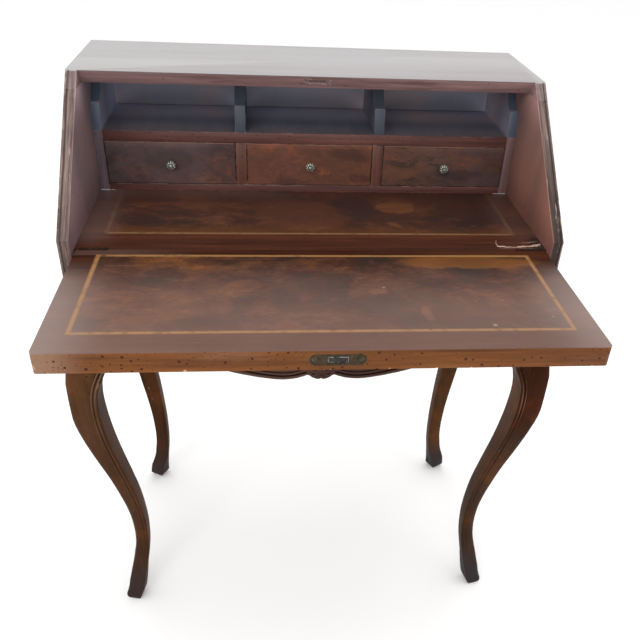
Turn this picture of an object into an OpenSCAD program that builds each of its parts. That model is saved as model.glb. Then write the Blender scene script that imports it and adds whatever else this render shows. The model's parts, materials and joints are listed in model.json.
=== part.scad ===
// Drop-front writing desk on four cabriole legs, shown with the fall let down.
// X runs along the width, Y from front to back, Z up.
// The origin is on the floor, under the middle of the open desk.

/* [Case] */
// Width over the two side panels
case_w = 720; // [600:1:900]
// Depth of the case below the slope
case_d = 408; // [360:1:480]
// Height of the top above the floor
case_h = 950; // [880:1:1050]
// Depth of the flat top
top_d = 209; // [195:1:230]
// Thickness of the top board
top_t = 21; // [16:0.5:24]
// Thickness of a side panel
side_t = 17; // [14:0.5:22]
// Rise of the slope, from its lower corner to the top
slope_rise = 176; // [165:1:195]
// Height of a side panel below the slope
side_foot_h = 154; // [140:1:175]
// Thickness of the back board
back_t = 10; // [6:0.5:14]
// Thickness of the bottom board
bottom_t = 12; // [8:0.5:18]
// Thickness of the frieze panel
frieze_t = 20; // [14:0.5:24]
// Thickness of the writing board
board_t = 18; // [16:0.5:22]
// Depth of the rail under the front of the writing board
rail_d = 48; // [30:1:70]

/* [Fall] */
// Thickness of the fall
fall_t = 28; // [24:0.5:32]
// Gap between the fall and each side panel
fall_side_gap = 3; // [1:0.25:4]
// Gap between the closed fall and the edge of the top
fall_top_gap = 0.8; // [0.5:0.1:2]
// Gap from the hinge line to the end of the fall
fall_seam = 0.5; // [0.4:0.05:0.8]
// Gap from the hinge line to the writing board
board_seam = 0.3; // [0.2:0.05:0.6]
// Gap between the open fall and what it rests on
fall_rest = 0.3; // [0.2:0.05:0.6]

/* [Hinges] */
// Length of a hinge along the seam
hinge_l = 40; // [30:1:60]
// Distance from the side panel to the hinge
hinge_inset = 7; // [5:0.5:20]
// Height of a hinge leaf below the knuckle
leaf_h = 15; // [12:0.5:15.5]
// Thickness of a hinge leaf
leaf_t = 1.6; // [1.2:0.1:2]
// Radius of the knuckles
knuckle_r = 2.6; // [2.4:0.1:3.2]
// Radius of the hinge pin
pin_r = 1.3; // [1:0.05:1.6]
// Running clearance of the pin in the knuckles
pin_fit = 0.05; // [0.03:0.01:0.1]
// Clearance round and between the knuckles
knuckle_gap = 0.4; // [0.3:0.05:0.6]

/* [Lock] */
// Distance of the lock to the right of the middle
lock_x = 7; // [-20:1:20]
// Length of the face plate
lock_plate_l = 68; // [60:1:80]
// Width of the face plate
lock_plate_w = 16; // [14:0.5:20]
// Thickness of the face plate
lock_plate_t = 2; // [1.5:0.1:3]
// Width of the bolt
bolt_w = 25; // [16:0.5:30]
// Height of the bolt
bolt_h = 8; // [5:0.5:9]
// Length of the bolt
bolt_l = 22; // [16:0.5:26]
// Travel of the bolt
bolt_throw = 6; // [4:0.5:7]
// Clearance round the bolt
bolt_gap = 0.35; // [0.3:0.05:0.5]
// Width of the lock case
lock_case_w = 56; // [44:1:58]
// Height of the lock case
lock_case_h = 13; // [11.5:0.5:15]
// Depth of the lock case
lock_case_d = 32; // [28:1:40]
// Length of the strike plate
strike_l = 42; // [38:1:50]
// Width of the strike plate
strike_w = 13; // [11:0.5:16]
// Thickness of the strike plate
strike_t = 1.5; // [1:0.1:2]

/* [Interior] */
// Distance from the back plane to the front of the fitted interior
unit_d = 165; // [150:1:175]
// Thickness of an end of the interior
end_t = 14; // [10:0.5:18]
// Thickness of a partition and of a divider
part_t = 17; // [12:0.5:20]
// Thickness of the shelf over the drawers
shelf_t = 17; // [12:0.5:20]
// Thickness of the base under the drawers
base_t = 12; // [8:0.5:16]
// Height of a drawer opening
bay_h = 69; // [55:1:74]
// Height of the ledge in the dividers above the shelf
step_h = 40; // [30:1:46]
// How far a divider leans back up to its ledge
step_lean = 7; // [0:0.5:12]
// Depth of the ledge
step_d = 11; // [6:0.5:16]
// Depth of the hollow above the ledge
hollow_d = 25; // [15:0.5:35]

/* [Drawers] */
// Gap beside and above a drawer front
drawer_gap = 0.6; // [0.4:0.1:1]
// Gap between a drawer and the base it runs on
run_gap = 0.3; // [0.2:0.05:0.5]
// Thickness of a drawer front
front_t = 12; // [9:0.5:15]
// Thickness of a drawer side and back
wall_t = 6; // [4:0.5:8]
// Thickness of a drawer bottom
floor_t = 4; // [3:0.5:5]
// Height of a drawer side
wall_h = 54; // [40:1:54]
// Gap behind a closed drawer
drawer_back_gap = 4; // [3:0.5:10]
// Radius of a drawer knob
knob_r = 8; // [6:0.5:10]
// How far a drawer knob stands out
knob_out = 16; // [12:0.5:20]
// Petals round a drawer knob
petals = 10; // [6:1:14]

/* [Lopers] */
// Width of a loper
loper_w = 20; // [16:0.5:24]
// Height of a loper
loper_h = 34; // [26:0.5:38]
// Length of a loper
loper_l = 330; // [300:1:340]
// How far a loper is drawn out
loper_out = 190; // [150:1:195]
// Clearance round a loper
loper_gap = 0.4; // [0.3:0.05:0.6]
// Thickness of the walls of a loper guide
guide_t = 9; // [6:0.5:12]
// Radius of a loper knob
loper_knob_r = 6; // [4:0.5:8]
// How far a loper knob stands out
loper_knob_out = 13; // [10:0.5:14]

/* [Legs and aprons] */
// How far the knees stand out past the case
knee_out = 23.5; // [8:0.5:30]
// How far the feet stand back under the case
foot_back = 10; // [0:1:20]
// How far the back feet stand in from the sides
back_foot_in = 12; // [0:1:20]
// Depth of the block at the head of a leg
head_w = 44; // [36:1:56]
// Height of the block at the head of a leg
head_h = 47; // [40:1:60]
// Gap between the post of a leg and the loper guide over it
post_gap = 1.3; // [0.3:0.1:20]
// Thickness of an apron
apron_t = 22; // [16:0.5:26]
// Drop of the front apron at its lowest
apron_drop = 69; // [55:1:85]
// Distance of the carved middle to the right of the middle
apron_mid = 7.5; // [-10:0.5:12]

/* [Hidden] */
$fn = 48;
// Clearance of a screw or a shank in its hole
fit = 0.05;
// Extra length of a cut, so that it breaks through
eps = 1;

slope_foot_h = case_h - slope_rise;
carcass_low = slope_foot_h - side_foot_h;
slope = atan2(slope_rise, case_d - top_d);
slope_len = norm([slope_rise, case_d - top_d]);
hinge_y = -(case_d - fall_t * sin(slope));
writing_h = slope_foot_h - fall_t * cos(slope);
close_a = 180 - slope;
half_w = case_w / 2;
inner_w = half_w - side_t;
top_low = case_h - top_t;
fall_half = inner_w - fall_side_gap;
fall_len = slope_len - fall_top_gap;
fall_end = hinge_y - fall_len;
fall_low = writing_h - fall_t;
rest_h = fall_low - fall_rest;
origin_y = (knee_out + fall_end) / 2;

// Fitted interior
shelf_top = writing_h + base_t + bay_h + shelf_t;
bay_low = writing_h + base_t;
bay_w = (2 * (inner_w - end_t) - 2 * part_t) / 3;
bay_x = bay_w + part_t;
drawer_w = bay_w - 2 * drawer_gap;
drawer_low = bay_low + run_gap;
drawer_high = bay_low + bay_h - drawer_gap;
drawer_rear = -back_t - drawer_back_gap;
knob_z = (drawer_low + drawer_high) / 2;
knob_stem_r = 2.6;
knob_tail = 2;
shank_r = 2;
floor_lift = 2;
// Hollow over the ledge of a divider, as shares of its depth and of the height left
hollow = [[0, 0], [0.32, 0.13], [0.64, 0.34], [0.88, 0.63], [1, 1]];

// Hinges
hinge_x = inner_w - hinge_inset - hinge_l / 2;
knuckle_l = (hinge_l - 2 * knuckle_gap) / 3;
groove_r = knuckle_r + knuckle_gap;
hinge_screw_pitch = hinge_l * 0.325;
hinge_screw_x = [-hinge_screw_pitch, 0, hinge_screw_pitch];
hinge_screw_drop = leaf_h * 0.6;
screw_head_r = 2.6;
screw_r = 1.3;
hinge_screw_l = 14;

// Lock
lock_z = writing_h - fall_t / 2;
lock_screw_inset = 6;
lock_screw_x = lock_plate_l / 2 - lock_screw_inset;
lock_screw_l = 12;
key_back = 18;
key_y = fall_end + lock_plate_t + key_back;
key_r = 2.5;
key_slot_w = 2.4;
key_slot_l = 7;
scutcheon_t = 1.2;
scutcheon_rx = 10;
scutcheon_l = 12;
mortise_gap = 1;
mortise_d = bolt_throw + 1.5;
strike_screw_inset = 3.8;
strike_screw_x = strike_l / 2 - strike_screw_inset;
strike_screw_l = 7;

// Lopers
loper_x = inner_w - loper_gap - loper_w;
loper_low = rest_h - loper_h;
loper_front = -case_d - loper_out;
loper_rear = loper_front + loper_l;
guide_x = loper_x - loper_gap - guide_t;
guide_low = loper_low - loper_gap - guide_t;
guide_spare = 30;
guide_rear = loper_rear + loper_out + guide_spare;
stop_back = 15;
stop_y = loper_rear - stop_back;
stop_r = 3;
loper_shank = 12;

// Legs: outline of one face, as height from 0 to 1 and distance past the case
leg_h = carcass_low;
head_low = leg_h - head_h;
post_high = guide_low - post_gap;
leg_outer = [
    [0, -0.17], [0.03, -0.28], [0.065, -0.41], [0.1, -0.64], [0.13, -0.84], [0.16, -1.04],
    [0.194, -1.21], [0.226, -1.29], [0.258, -1.32], [0.323, -1.25], [0.387, -1.04],
    [0.452, -0.74], [0.516, -0.41], [0.581, -0.02], [0.645, 0.36], [0.71, 0.7],
    [0.758, 0.9], [0.806, 1], [0.855, 0.99], [0.903, 0.87], [0.95, 0.5], [1, 0]
];
// The same for the inner edge, as shares of the depth of the head
leg_inner = [
    [0, 0.8], [0.03, 0.85], [0.07, 0.95], [0.11, 1.04], [0.144, 1.13], [0.19, 1.22],
    [0.23, 1.265], [0.28, 1.285], [0.323, 1.27], [0.36, 1.24], [0.403, 1.19], [0.44, 1.13],
    [0.484, 1.04], [0.54, 0.92], [0.6, 0.79], [0.65, 0.69], [0.71, 0.595], [0.76, 0.54],
    [0.8, 0.515], [0.83, 0.53], [0.86, 0.6], [0.89, 0.75]
];

// Lower edge of the front apron, from its middle out to a leg: shares of the width to
// the leg, and of the drop above the lowest line
apron_half = half_w - head_w;
apron_low_z = leg_h - apron_drop;
apron_curve = [
    [0, 0.04], [0.013, 0.015], [0.025, 0.02], [0.044, 0.06], [0.063, 0.115], [0.085, 0.085],
    [0.12, 0.04], [0.165, 0.015], [0.203, 0.015], [0.266, 0.05], [0.348, 0.12], [0.456, 0.235],
    [0.57, 0.4], [0.68, 0.57], [0.775, 0.66], [0.854, 0.64]
];
// Rise of the lower edge of a side apron
side_rise = head_h * 0.38;

// Places everything from the back plane of the case into the part's own frame
module place() translate([0, -origin_y, 0]) children();

// A box from one corner to the opposite one
module block(a, b) translate(a) cube(b - a);

// An outline in Y and Z, made solid from x0 to x1
module slab(x0, x1, outline)
    translate([x0, 0, 0])
        rotate([90, 0, 90])
            linear_extrude(x1 - x0)
                polygon(outline);

// An outline in X and Z, made solid from y0 to y1
module wall(y0, y1, outline)
    translate([0, y1, 0])
        rotate([90, 0, 0])
            linear_extrude(y1 - y0)
                polygon(outline);

// A cylinder along Y, from y0 to y1
module rod_y(y0, y1, r) translate([0, y1, 0]) rotate([90, 0, 0]) cylinder(h = y1 - y0, r = r);

// A cylinder along X, from x0 to x1
module rod_x(x0, x1, r) translate([x0, 0, 0]) rotate([0, 90, 0]) cylinder(h = x1 - x0, r = r);

// Turns what is drawn against the open fall to where it lies when the fall is closed
module closed()
    translate([0, hinge_y, writing_h])
        rotate([-close_a, 0, 0])
            translate([0, -hinge_y, -writing_h])
                children();

// Draws a thing on the right and its mirror image on the left
module both_sides() {
    children();
    mirror([1, 0, 0]) children();
}

// A smooth curve through stations [t, v], with a few points between each two
function spline(p, i, u) =
    let (a = p[max(i - 1, 0)][1])
    let (b = p[i][1])
    let (c = p[i + 1][1])
    let (d = p[min(i + 2, len(p) - 1)][1])
    [
        p[i][0] + (p[i + 1][0] - p[i][0]) * u,
        (2 * b + (c - a) * u + (2 * a - 5 * b + 4 * c - d) * u * u
            + (3 * b - 3 * c + d - a) * u * u * u) / 2
    ];
function smooth(p, n) = concat(
    [for (i = [0 : len(p) - 2], k = [0 : n - 1]) spline(p, i, k / n)],
    [p[len(p) - 1]]
);
function flip(p) = [for (i = [len(p) - 1 : -1 : 0]) p[i]];

// Case

module side_panel()
    color("#6b4433")
        slab(inner_w, half_w, [
            [0, carcass_low],
            [-case_d, carcass_low],
            [-case_d, slope_foot_h],
            [-top_d - top_t / tan(slope), top_low],
            [0, top_low]
        ]);
module side_panel_right() place() side_panel();
module side_panel_left() place() mirror([1, 0, 0]) side_panel();

// The front edge is square to the slope between the sides and follows the slope over them
module top_board()
    place()
        color("#7a4a38")
            difference() {
                slab(-half_w, half_w, [
                    [0, top_low],
                    [0, case_h],
                    [-top_d, case_h],
                    [-top_d - top_t / tan(slope), top_low]
                ]);
                closed()
                    block(
                        [-inner_w, hinge_y - slope_len, fall_low - eps],
                        [inner_w, hinge_y, writing_h + 3 * top_t]
                    );
                closed()
                    strike_outline(0, strike_t);
                closed()
                    block(
                        [
                            lock_x - bolt_w / 2 - mortise_gap,
                            hinge_y - slope_len - mortise_d,
                            lock_z - bolt_h / 2 - mortise_gap
                        ],
                        [
                            lock_x + bolt_w / 2 + mortise_gap,
                            hinge_y - slope_len,
                            lock_z + bolt_h / 2 + mortise_gap
                        ]
                    );
                closed()
                    strike_screw_holes(strike_screw_l);
            }

module back_board()
    place()
        color("#5a3a2c")
            block([-inner_w, -back_t, carcass_low], [inner_w, 0, top_low]);

module writing_board()
    place()
        color("#6a3f30")
            difference() {
                block(
                    [-inner_w, hinge_y + board_seam, writing_h - board_t],
                    [inner_w, -back_t, writing_h]
                );
                both_sides()
                    translate([hinge_x, 0, 0]) {
                        knuckle_groove();
                        block(
                            [-hinge_l / 2, hinge_y, writing_h - leaf_h],
                            [hinge_l / 2, hinge_y + board_seam + leaf_t, writing_h + eps]
                        );
                        for (x = hinge_screw_x)
                            translate([x, 0, writing_h - hinge_screw_drop])
                                rod_y(hinge_y, hinge_y + board_seam + hinge_screw_l, screw_r + fit);
                    }
            }

// The corners are cut round the posts of the legs
module bottom_board()
    place()
        color("#5a3a2c")
            difference() {
                block(
                    [-inner_w, frieze_t - case_d, carcass_low],
                    [inner_w, -back_t, carcass_low + bottom_t]
                );
                both_sides() {
                    block(
                        [half_w - head_w, frieze_t - case_d - eps, carcass_low - eps],
                        [inner_w + eps, head_w - case_d, carcass_low + bottom_t + eps]
                    );
                    block(
                        [half_w - head_w, -head_w, carcass_low - eps],
                        [inner_w + eps, -back_t + eps, carcass_low + bottom_t + eps]
                    );
                }
            }

// The upper corners are cut away for the lopers
module frieze_panel()
    place()
        color("#7a5038")
            wall(-case_d, frieze_t - case_d, [
                [-inner_w, carcass_low],
                [inner_w, carcass_low],
                [inner_w, loper_low - loper_gap],
                [loper_x - loper_gap, loper_low - loper_gap],
                [loper_x - loper_gap, rest_h],
                [loper_gap - loper_x, rest_h],
                [loper_gap - loper_x, loper_low - loper_gap],
                [-inner_w, loper_low - loper_gap]
            ]);

module hinge_rail()
    place()
        color("#5a3a2c")
            block(
                [-guide_x, frieze_t - case_d, guide_low],
                [guide_x, frieze_t - case_d + rail_d, writing_h - board_t]
            );

// The aprons swell out with the knees: distance past the case against height
function swell() = [
    for (p = smooth(leg_outer, 3))
        if (p[0] * leg_h > apron_low_z - apron_drop / 10)
            [p[1] * knee_out, p[0] * leg_h]
];
function swell_outline() = concat(swell(), flip([for (p = swell()) [p[0] - apron_t, p[1]]]));

module apron_outline() {
    half = [for (p = smooth(apron_curve, 3)) [p[0] * apron_half, apron_low_z + p[1] * apron_drop]];
    polygon(concat(
        [[apron_half, carcass_low], [-apron_half, carcass_low], [-apron_half, head_low]],
        [for (p = flip(half)) [apron_mid - p[0], p[1]]],
        [for (i = [1 : len(half) - 1]) [apron_mid + half[i][0], half[i][1]]],
        [[apron_half, head_low]]
    ));
}

module front_apron()
    place()
        color("#4e3024")
            intersection() {
                translate([0, -case_d + 2 * head_w, 0])
                    rotate([90, 0, 0])
                        linear_extrude(4 * head_w)
                            apron_outline();
                slab(-half_w, half_w, [for (p = swell_outline()) [-case_d - p[0], p[1]]]);
            }

// The lower edge rises from each leg and dips a little in the middle
module side_apron() {
    a = head_w - case_d;
    b = -head_w;
    n = 24;
    color("#5a3828")
        intersection() {
            slab(half_w - 2 * head_w, half_w + 2 * head_w, concat(
                [[b, carcass_low], [a, carcass_low]],
                [for (i = [0 : n]) [
                    a + (b - a) * i / n,
                    head_low + side_rise * (0.62 - 0.5 * cos(360 * i / n) - 0.12 * cos(720 * i / n))
                ]]
            ));
            wall(-case_d, 0, [for (p = swell_outline()) [half_w + p[0], p[1]]]);
        }
}
module side_apron_right() place() side_apron();
module side_apron_left() place() mirror([1, 0, 0]) side_apron();

module back_rail()
    place()
        color("#5a3a2c")
            block(
                [-apron_half, -apron_t, head_low + bottom_t],
                [apron_half, 0, carcass_low]
            );

// Legs

// One face of a leg: how far it stands out along the side, against height. back is
// how far its foot stands back from the line of the case.
function stand_back(p, back) = back * pow(max(0, 1 - p[0] / 0.65), 2);
function leg_outline(back) = concat(
    [for (p = smooth(leg_outer, 3)) [p[1] * knee_out - stand_back(p, back), p[0] * leg_h]],
    [[-head_w, leg_h], [-head_w, head_low]],
    flip([
        for (p = smooth(leg_inner, 3))
            [-p[1] * head_w - stand_back(p, back), p[0] * leg_h]
    ])
);

// Both faces are sawn to outline and meet square, as a leg is cut from the block.
// rear is 1 for a back leg.
module leg(rear) {
    face_y = rear == 1 ? 0 : -case_d;
    post_y0 = rear == 1 ? -head_w : frieze_t - case_d;
    post_y1 = rear == 1 ? -back_t : head_w - case_d;
    reach = 2 * (head_w + knee_out);
    color("#5c3b28") {
        intersection() {
            translate([half_w, face_y + reach, 0])
                rotate([90, 0, 0])
                    linear_extrude(2 * reach)
                        polygon(leg_outline(rear * back_foot_in));
            translate([half_w - reach, face_y, 0])
                rotate([90, 0, 90])
                    linear_extrude(2 * reach)
                        polygon([for (p = leg_outline(foot_back)) [rear == 1 ? p[0] : -p[0], p[1]]]);
        }
        block([half_w - head_w, post_y0, leg_h - head_h / 2], [inner_w, post_y1, post_high]);
    }
}
module leg_front_right() place() leg(0);
module leg_front_left() place() mirror([1, 0, 0]) leg(0);
module leg_back_right() place() leg(1);
module leg_back_left() place() mirror([1, 0, 0]) leg(1);

// Lopers and their guides

// A channel, open towards the side panel, with a slot for the stop
module loper_guide()
    color("#5a3a2c")
        difference() {
            block(
                [guide_x, frieze_t - case_d, guide_low],
                [inner_w, guide_rear, writing_h - board_t]
            );
            block(
                [loper_x - loper_gap, frieze_t - case_d - eps, loper_low - loper_gap],
                [inner_w + eps, guide_rear + eps, rest_h + loper_gap]
            );
            block(
                [guide_x - eps, stop_y - stop_r - loper_gap, loper_low + loper_h / 2 - stop_r - loper_gap],
                [loper_x, stop_y + loper_out + stop_r + loper_gap, loper_low + loper_h / 2 + stop_r + loper_gap]
            );
        }
module loper_guide_right() place() loper_guide();
module loper_guide_left() place() mirror([1, 0, 0]) loper_guide();

module loper()
    color("#74472f")
        difference() {
            block([loper_x, loper_front, loper_low], [loper_x + loper_w, loper_rear, rest_h]);
            translate([0, stop_y, loper_low + loper_h / 2])
                rod_x(loper_x - eps, loper_x + loper_w / 2, stop_r + fit);
            translate([loper_x + loper_w / 2, 0, loper_low + loper_h / 2])
                rod_y(loper_front - eps, loper_front + loper_shank + fit, shank_r + fit);
        }
module loper_right() place() loper();
module loper_left() place() mirror([1, 0, 0]) loper();

module loper_stop()
    color("#8a6a4a")
        translate([0, stop_y, loper_low + loper_h / 2])
            rod_x(guide_x + guide_t / 4, loper_x + loper_w / 2, stop_r);
module loper_stop_right() place() loper_stop();
module loper_stop_left() place() mirror([1, 0, 0]) loper_stop();

// A small turned knob on a shank; its axis is the Z axis and its seat is at 0
module turned_knob(r, out, shank)
    rotate_extrude()
        polygon(concat(
            [[0, -shank], [shank_r, -shank], [shank_r, 0], [r * 0.62, 0], [r * 0.5, out * 0.1]],
            [[knob_stem_r, out * 0.25], [knob_stem_r, out * 0.42]],
            [for (a = [-30 : 15 : 90]) [max(0, r * cos(a)), out * (0.72 + 0.28 * sin(a))]],
            [[0, out]]
        ));

module loper_knob()
    color("#9a8a58")
        translate([loper_x + loper_w / 2, loper_front, loper_low + loper_h / 2])
            rotate([90, 0, 0])
                turned_knob(loper_knob_r, loper_knob_out, loper_shank);
module loper_knob_right() place() loper_knob();
module loper_knob_left() place() mirror([1, 0, 0]) loper_knob();

// Fitted interior

// Outline of an end or a divider above the shelf, from the front of the shelf upward
function upper_outline() =
    let (ledge_y = step_lean + step_d - unit_d)
    let (ledge_z = shelf_top + step_h)
    concat(
        [[-unit_d, shelf_top], [step_lean - unit_d, ledge_z]],
        [for (p = hollow) [ledge_y + p[0] * hollow_d, ledge_z + p[1] * (top_low - ledge_z)]]
    );

module unit_end()
    color("#5a3a30")
        slab(inner_w - end_t, inner_w, concat(
            [[-back_t, writing_h], [-unit_d, writing_h]],
            upper_outline(),
            [[-back_t, top_low]]
        ));
module unit_end_right() place() unit_end();
module unit_end_left() place() mirror([1, 0, 0]) unit_end();

module unit_base()
    place()
        color("#6e4433")
            block([end_t - inner_w, -unit_d, writing_h], [inner_w - end_t, -back_t, bay_low]);

module unit_shelf()
    place()
        color("#6e4433")
            block([end_t - inner_w, -unit_d, shelf_top - shelf_t], [inner_w - end_t, -back_t, shelf_top]);

module partition()
    color("#6e4433")
        block([bay_w / 2, -unit_d, bay_low], [bay_w / 2 + part_t, -back_t, bay_low + bay_h]);
module partition_right() place() partition();
module partition_left() place() mirror([1, 0, 0]) partition();

module divider()
    color("#5a4a50")
        slab(bay_w / 2, bay_w / 2 + part_t, concat(
            [[-back_t, shelf_top]],
            upper_outline(),
            [[-back_t, top_low]]
        ));
module divider_right() place() divider();
module divider_left() place() mirror([1, 0, 0]) divider();

// Drawers, drawn in the middle bay

module drawer_front()
    color("#6b4028")
        difference() {
            block([-drawer_w / 2, -unit_d, drawer_low], [drawer_w / 2, front_t - unit_d, drawer_high]);
            translate([0, 0, knob_z])
                rod_y(-unit_d - eps, front_t - unit_d + eps, shank_r + fit);
        }

// Two sides and a back
module drawer_frame()
    color("#8a6648") {
        both_sides()
            block(
                [drawer_w / 2 - wall_t, front_t - unit_d, drawer_low],
                [drawer_w / 2, drawer_rear, drawer_low + wall_h]
            );
        block(
            [wall_t - drawer_w / 2, drawer_rear - wall_t, drawer_low],
            [drawer_w / 2 - wall_t, drawer_rear, drawer_low + wall_h]
        );
    }

module drawer_bottom()
    color("#94704f")
        block(
            [wall_t - drawer_w / 2, front_t - unit_d, drawer_low + floor_lift],
            [drawer_w / 2 - wall_t, drawer_rear - wall_t, drawer_low + floor_lift + floor_t]
        );

// A domed rosette with hollows cut round its rim
module drawer_knob()
    color("#8f9a8c")
        translate([0, -unit_d, knob_z])
            rotate([90, 0, 0])
                difference() {
                    turned_knob(knob_r, knob_out, front_t + knob_tail);
                    for (i = [0 : petals - 1])
                        rotate([0, 0, 360 * i / petals])
                            translate([knob_r * 1.06, 0, knob_out * 0.45])
                                cylinder(h = knob_out, r = knob_r * 0.2);
                }

module drawer_left_front() place() translate([-bay_x, 0, 0]) drawer_front();
module drawer_left_frame() place() translate([-bay_x, 0, 0]) drawer_frame();
module drawer_left_bottom() place() translate([-bay_x, 0, 0]) drawer_bottom();
module drawer_left_knob() place() translate([-bay_x, 0, 0]) drawer_knob();
module drawer_middle_front() place() drawer_front();
module drawer_middle_frame() place() drawer_frame();
module drawer_middle_bottom() place() drawer_bottom();
module drawer_middle_knob() place() drawer_knob();
module drawer_right_front() place() translate([bay_x, 0, 0]) drawer_front();
module drawer_right_frame() place() translate([bay_x, 0, 0]) drawer_frame();
module drawer_right_bottom() place() translate([bay_x, 0, 0]) drawer_bottom();
module drawer_right_knob() place() translate([bay_x, 0, 0]) drawer_knob();

// Fall

module fall_panel()
    place()
        color("#8a5a3c")
            difference() {
                block([-fall_half, fall_end, fall_low], [fall_half, hinge_y - fall_seam, writing_h]);
                both_sides()
                    translate([hinge_x, 0, 0]) {
                        knuckle_groove();
                        block(
                            [-hinge_l / 2, hinge_y - fall_seam - leaf_t, writing_h - leaf_h],
                            [hinge_l / 2, hinge_y, writing_h + eps]
                        );
                        for (x = hinge_screw_x)
                            translate([x, 0, writing_h - hinge_screw_drop])
                                rod_y(hinge_y - fall_seam - hinge_screw_l, hinge_y, screw_r + fit);
                    }
                lock_plate_outline(eps, lock_plate_t);
                block(
                    [lock_x - lock_case_w / 2, fall_end, lock_z - lock_case_h / 2],
                    [lock_x + lock_case_w / 2, fall_end + lock_plate_t + lock_case_d, lock_z + lock_case_h / 2]
                );
                lock_screw_holes(lock_screw_l);
                key_way(fall_low - eps, lock_z);
            }

// Hinges

module knuckle_groove()
    translate([0, hinge_y, writing_h])
        rod_x(-hinge_l / 2 - knuckle_gap, hinge_l / 2 + knuckle_gap, groove_r);

// A leaf on one side of the hinge line. seam is its distance from the line, and
// rolls lists the knuckles that it carries, counted from the left.
module leaf(seam, rolls)
    difference() {
        union() {
            block(
                [-hinge_l / 2, hinge_y + seam, writing_h - leaf_h],
                [hinge_l / 2, hinge_y + seam + leaf_t, writing_h - groove_r]
            );
            for (i = rolls) {
                block(
                    [knuckle_x(i), hinge_y + seam, writing_h - groove_r],
                    [knuckle_x(i) + knuckle_l, hinge_y + seam + leaf_t, writing_h]
                );
                translate([knuckle_x(i), hinge_y, writing_h])
                    rod_x(0, knuckle_l, knuckle_r);
            }
        }
        translate([0, hinge_y, writing_h])
            rod_x(-hinge_l, hinge_l, pin_r + pin_fit);
        for (x = hinge_screw_x)
            translate([x, hinge_y + seam, writing_h - hinge_screw_drop])
                rotate([-90, 0, 0])
                    screw_hole(leaf_t);
    }
function knuckle_x(i) = -hinge_l / 2 + i * (knuckle_l + knuckle_gap);

// A countersunk screw, head down at 0, and the hole for it in a plate
module screw(l) {
    cylinder(h = screw_head_r - screw_r, r1 = screw_head_r, r2 = screw_r);
    cylinder(h = l, r = screw_r);
}
module screw_hole(t) {
    translate([0, 0, -fit])
        cylinder(h = screw_head_r - screw_r + 2 * fit, r1 = screw_head_r + 2 * fit, r2 = screw_r);
    translate([0, 0, -eps])
        cylinder(h = t + 2 * eps, r = screw_r + fit);
}

module fixed_leaf()
    color("#8c7a4c")
        translate([hinge_x, 0, 0])
            leaf(board_seam, [1]);
module hinge_fixed_leaf_right() place() fixed_leaf();
module hinge_fixed_leaf_left() place() mirror([1, 0, 0]) fixed_leaf();

module moving_leaf()
    color("#8c7a4c")
        translate([hinge_x, 2 * hinge_y, 0])
            mirror([0, 1, 0])
                leaf(fall_seam, [0, 2]);
module hinge_moving_leaf_right() place() moving_leaf();
module hinge_moving_leaf_left() place() mirror([1, 0, 0]) moving_leaf();

module hinge_pins()
    place()
        color("#75705f")
            both_sides()
                translate([hinge_x, hinge_y, writing_h])
                    rod_x(-hinge_l / 2, hinge_l / 2, pin_r);

module hinge_screws(y, turn)
    color("#75705f")
        both_sides()
            for (x = hinge_screw_x)
                translate([hinge_x + x, y, writing_h - hinge_screw_drop])
                    rotate([turn, 0, 0])
                        screw(hinge_screw_l - 1);
module hinge_fixed_screws() place() hinge_screws(hinge_y + board_seam, -90);
module hinge_moving_screws() place() hinge_screws(hinge_y - fall_seam, 90);

// Lock, in the edge of the fall

// Face plate with round ends, from out in front of the edge to depth behind it
module lock_plate_outline(out, depth) {
    r = lock_plate_w / 2;
    block(
        [lock_x - lock_plate_l / 2 + r, fall_end - out, lock_z - r],
        [lock_x + lock_plate_l / 2 - r, fall_end + depth, lock_z + r]
    );
    for (s = [-1, 1])
        translate([lock_x + s * (lock_plate_l / 2 - r), 0, lock_z])
            rod_y(fall_end - out, fall_end + depth, r);
}

module lock_screw_holes(l)
    for (s = [-1, 1])
        translate([lock_x + s * lock_screw_x, fall_end, lock_z])
            rotate([-90, 0, 0])
                screw_hole(l);

module bolt_way(y0, y1)
    block(
        [lock_x - bolt_w / 2 - bolt_gap, y0, lock_z - bolt_h / 2 - bolt_gap],
        [lock_x + bolt_w / 2 + bolt_gap, y1, lock_z + bolt_h / 2 + bolt_gap]
    );

// The keyhole: a round hole with a slot towards the hinge
module key_way(z0, z1)
    translate([lock_x, key_y, z0]) {
        cylinder(h = z1 - z0, r = key_r);
        translate([-key_slot_w / 2, 0, 0])
            cube([key_slot_w, key_slot_l, z1 - z0]);
    }

module lock_plate()
    place()
        color("#6b6a4c")
            difference() {
                lock_plate_outline(0, lock_plate_t);
                bolt_way(fall_end - eps, fall_end + lock_plate_t + eps);
                lock_screw_holes(lock_plate_t);
            }

module lock_case()
    place()
        color("#5f5c48")
            difference() {
                block(
                    [lock_x - lock_case_w / 2, fall_end + lock_plate_t, lock_z - lock_case_h / 2],
                    [lock_x + lock_case_w / 2, fall_end + lock_plate_t + lock_case_d, lock_z + lock_case_h / 2]
                );
                bolt_way(fall_end, fall_end + bolt_l + 1);
                lock_screw_holes(lock_screw_l);
                key_way(fall_low, lock_z);
            }

module lock_bolt()
    place()
        color("#77745c")
            block(
                [lock_x - bolt_w / 2, fall_end, lock_z - bolt_h / 2],
                [lock_x + bolt_w / 2, fall_end + bolt_l, lock_z + bolt_h / 2]
            );

module lock_screws()
    place()
        color("#75705f")
            for (s = [-1, 1])
                translate([lock_x + s * lock_screw_x, fall_end, lock_z])
                    rotate([-90, 0, 0])
                        screw(lock_screw_l - 1);

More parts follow.
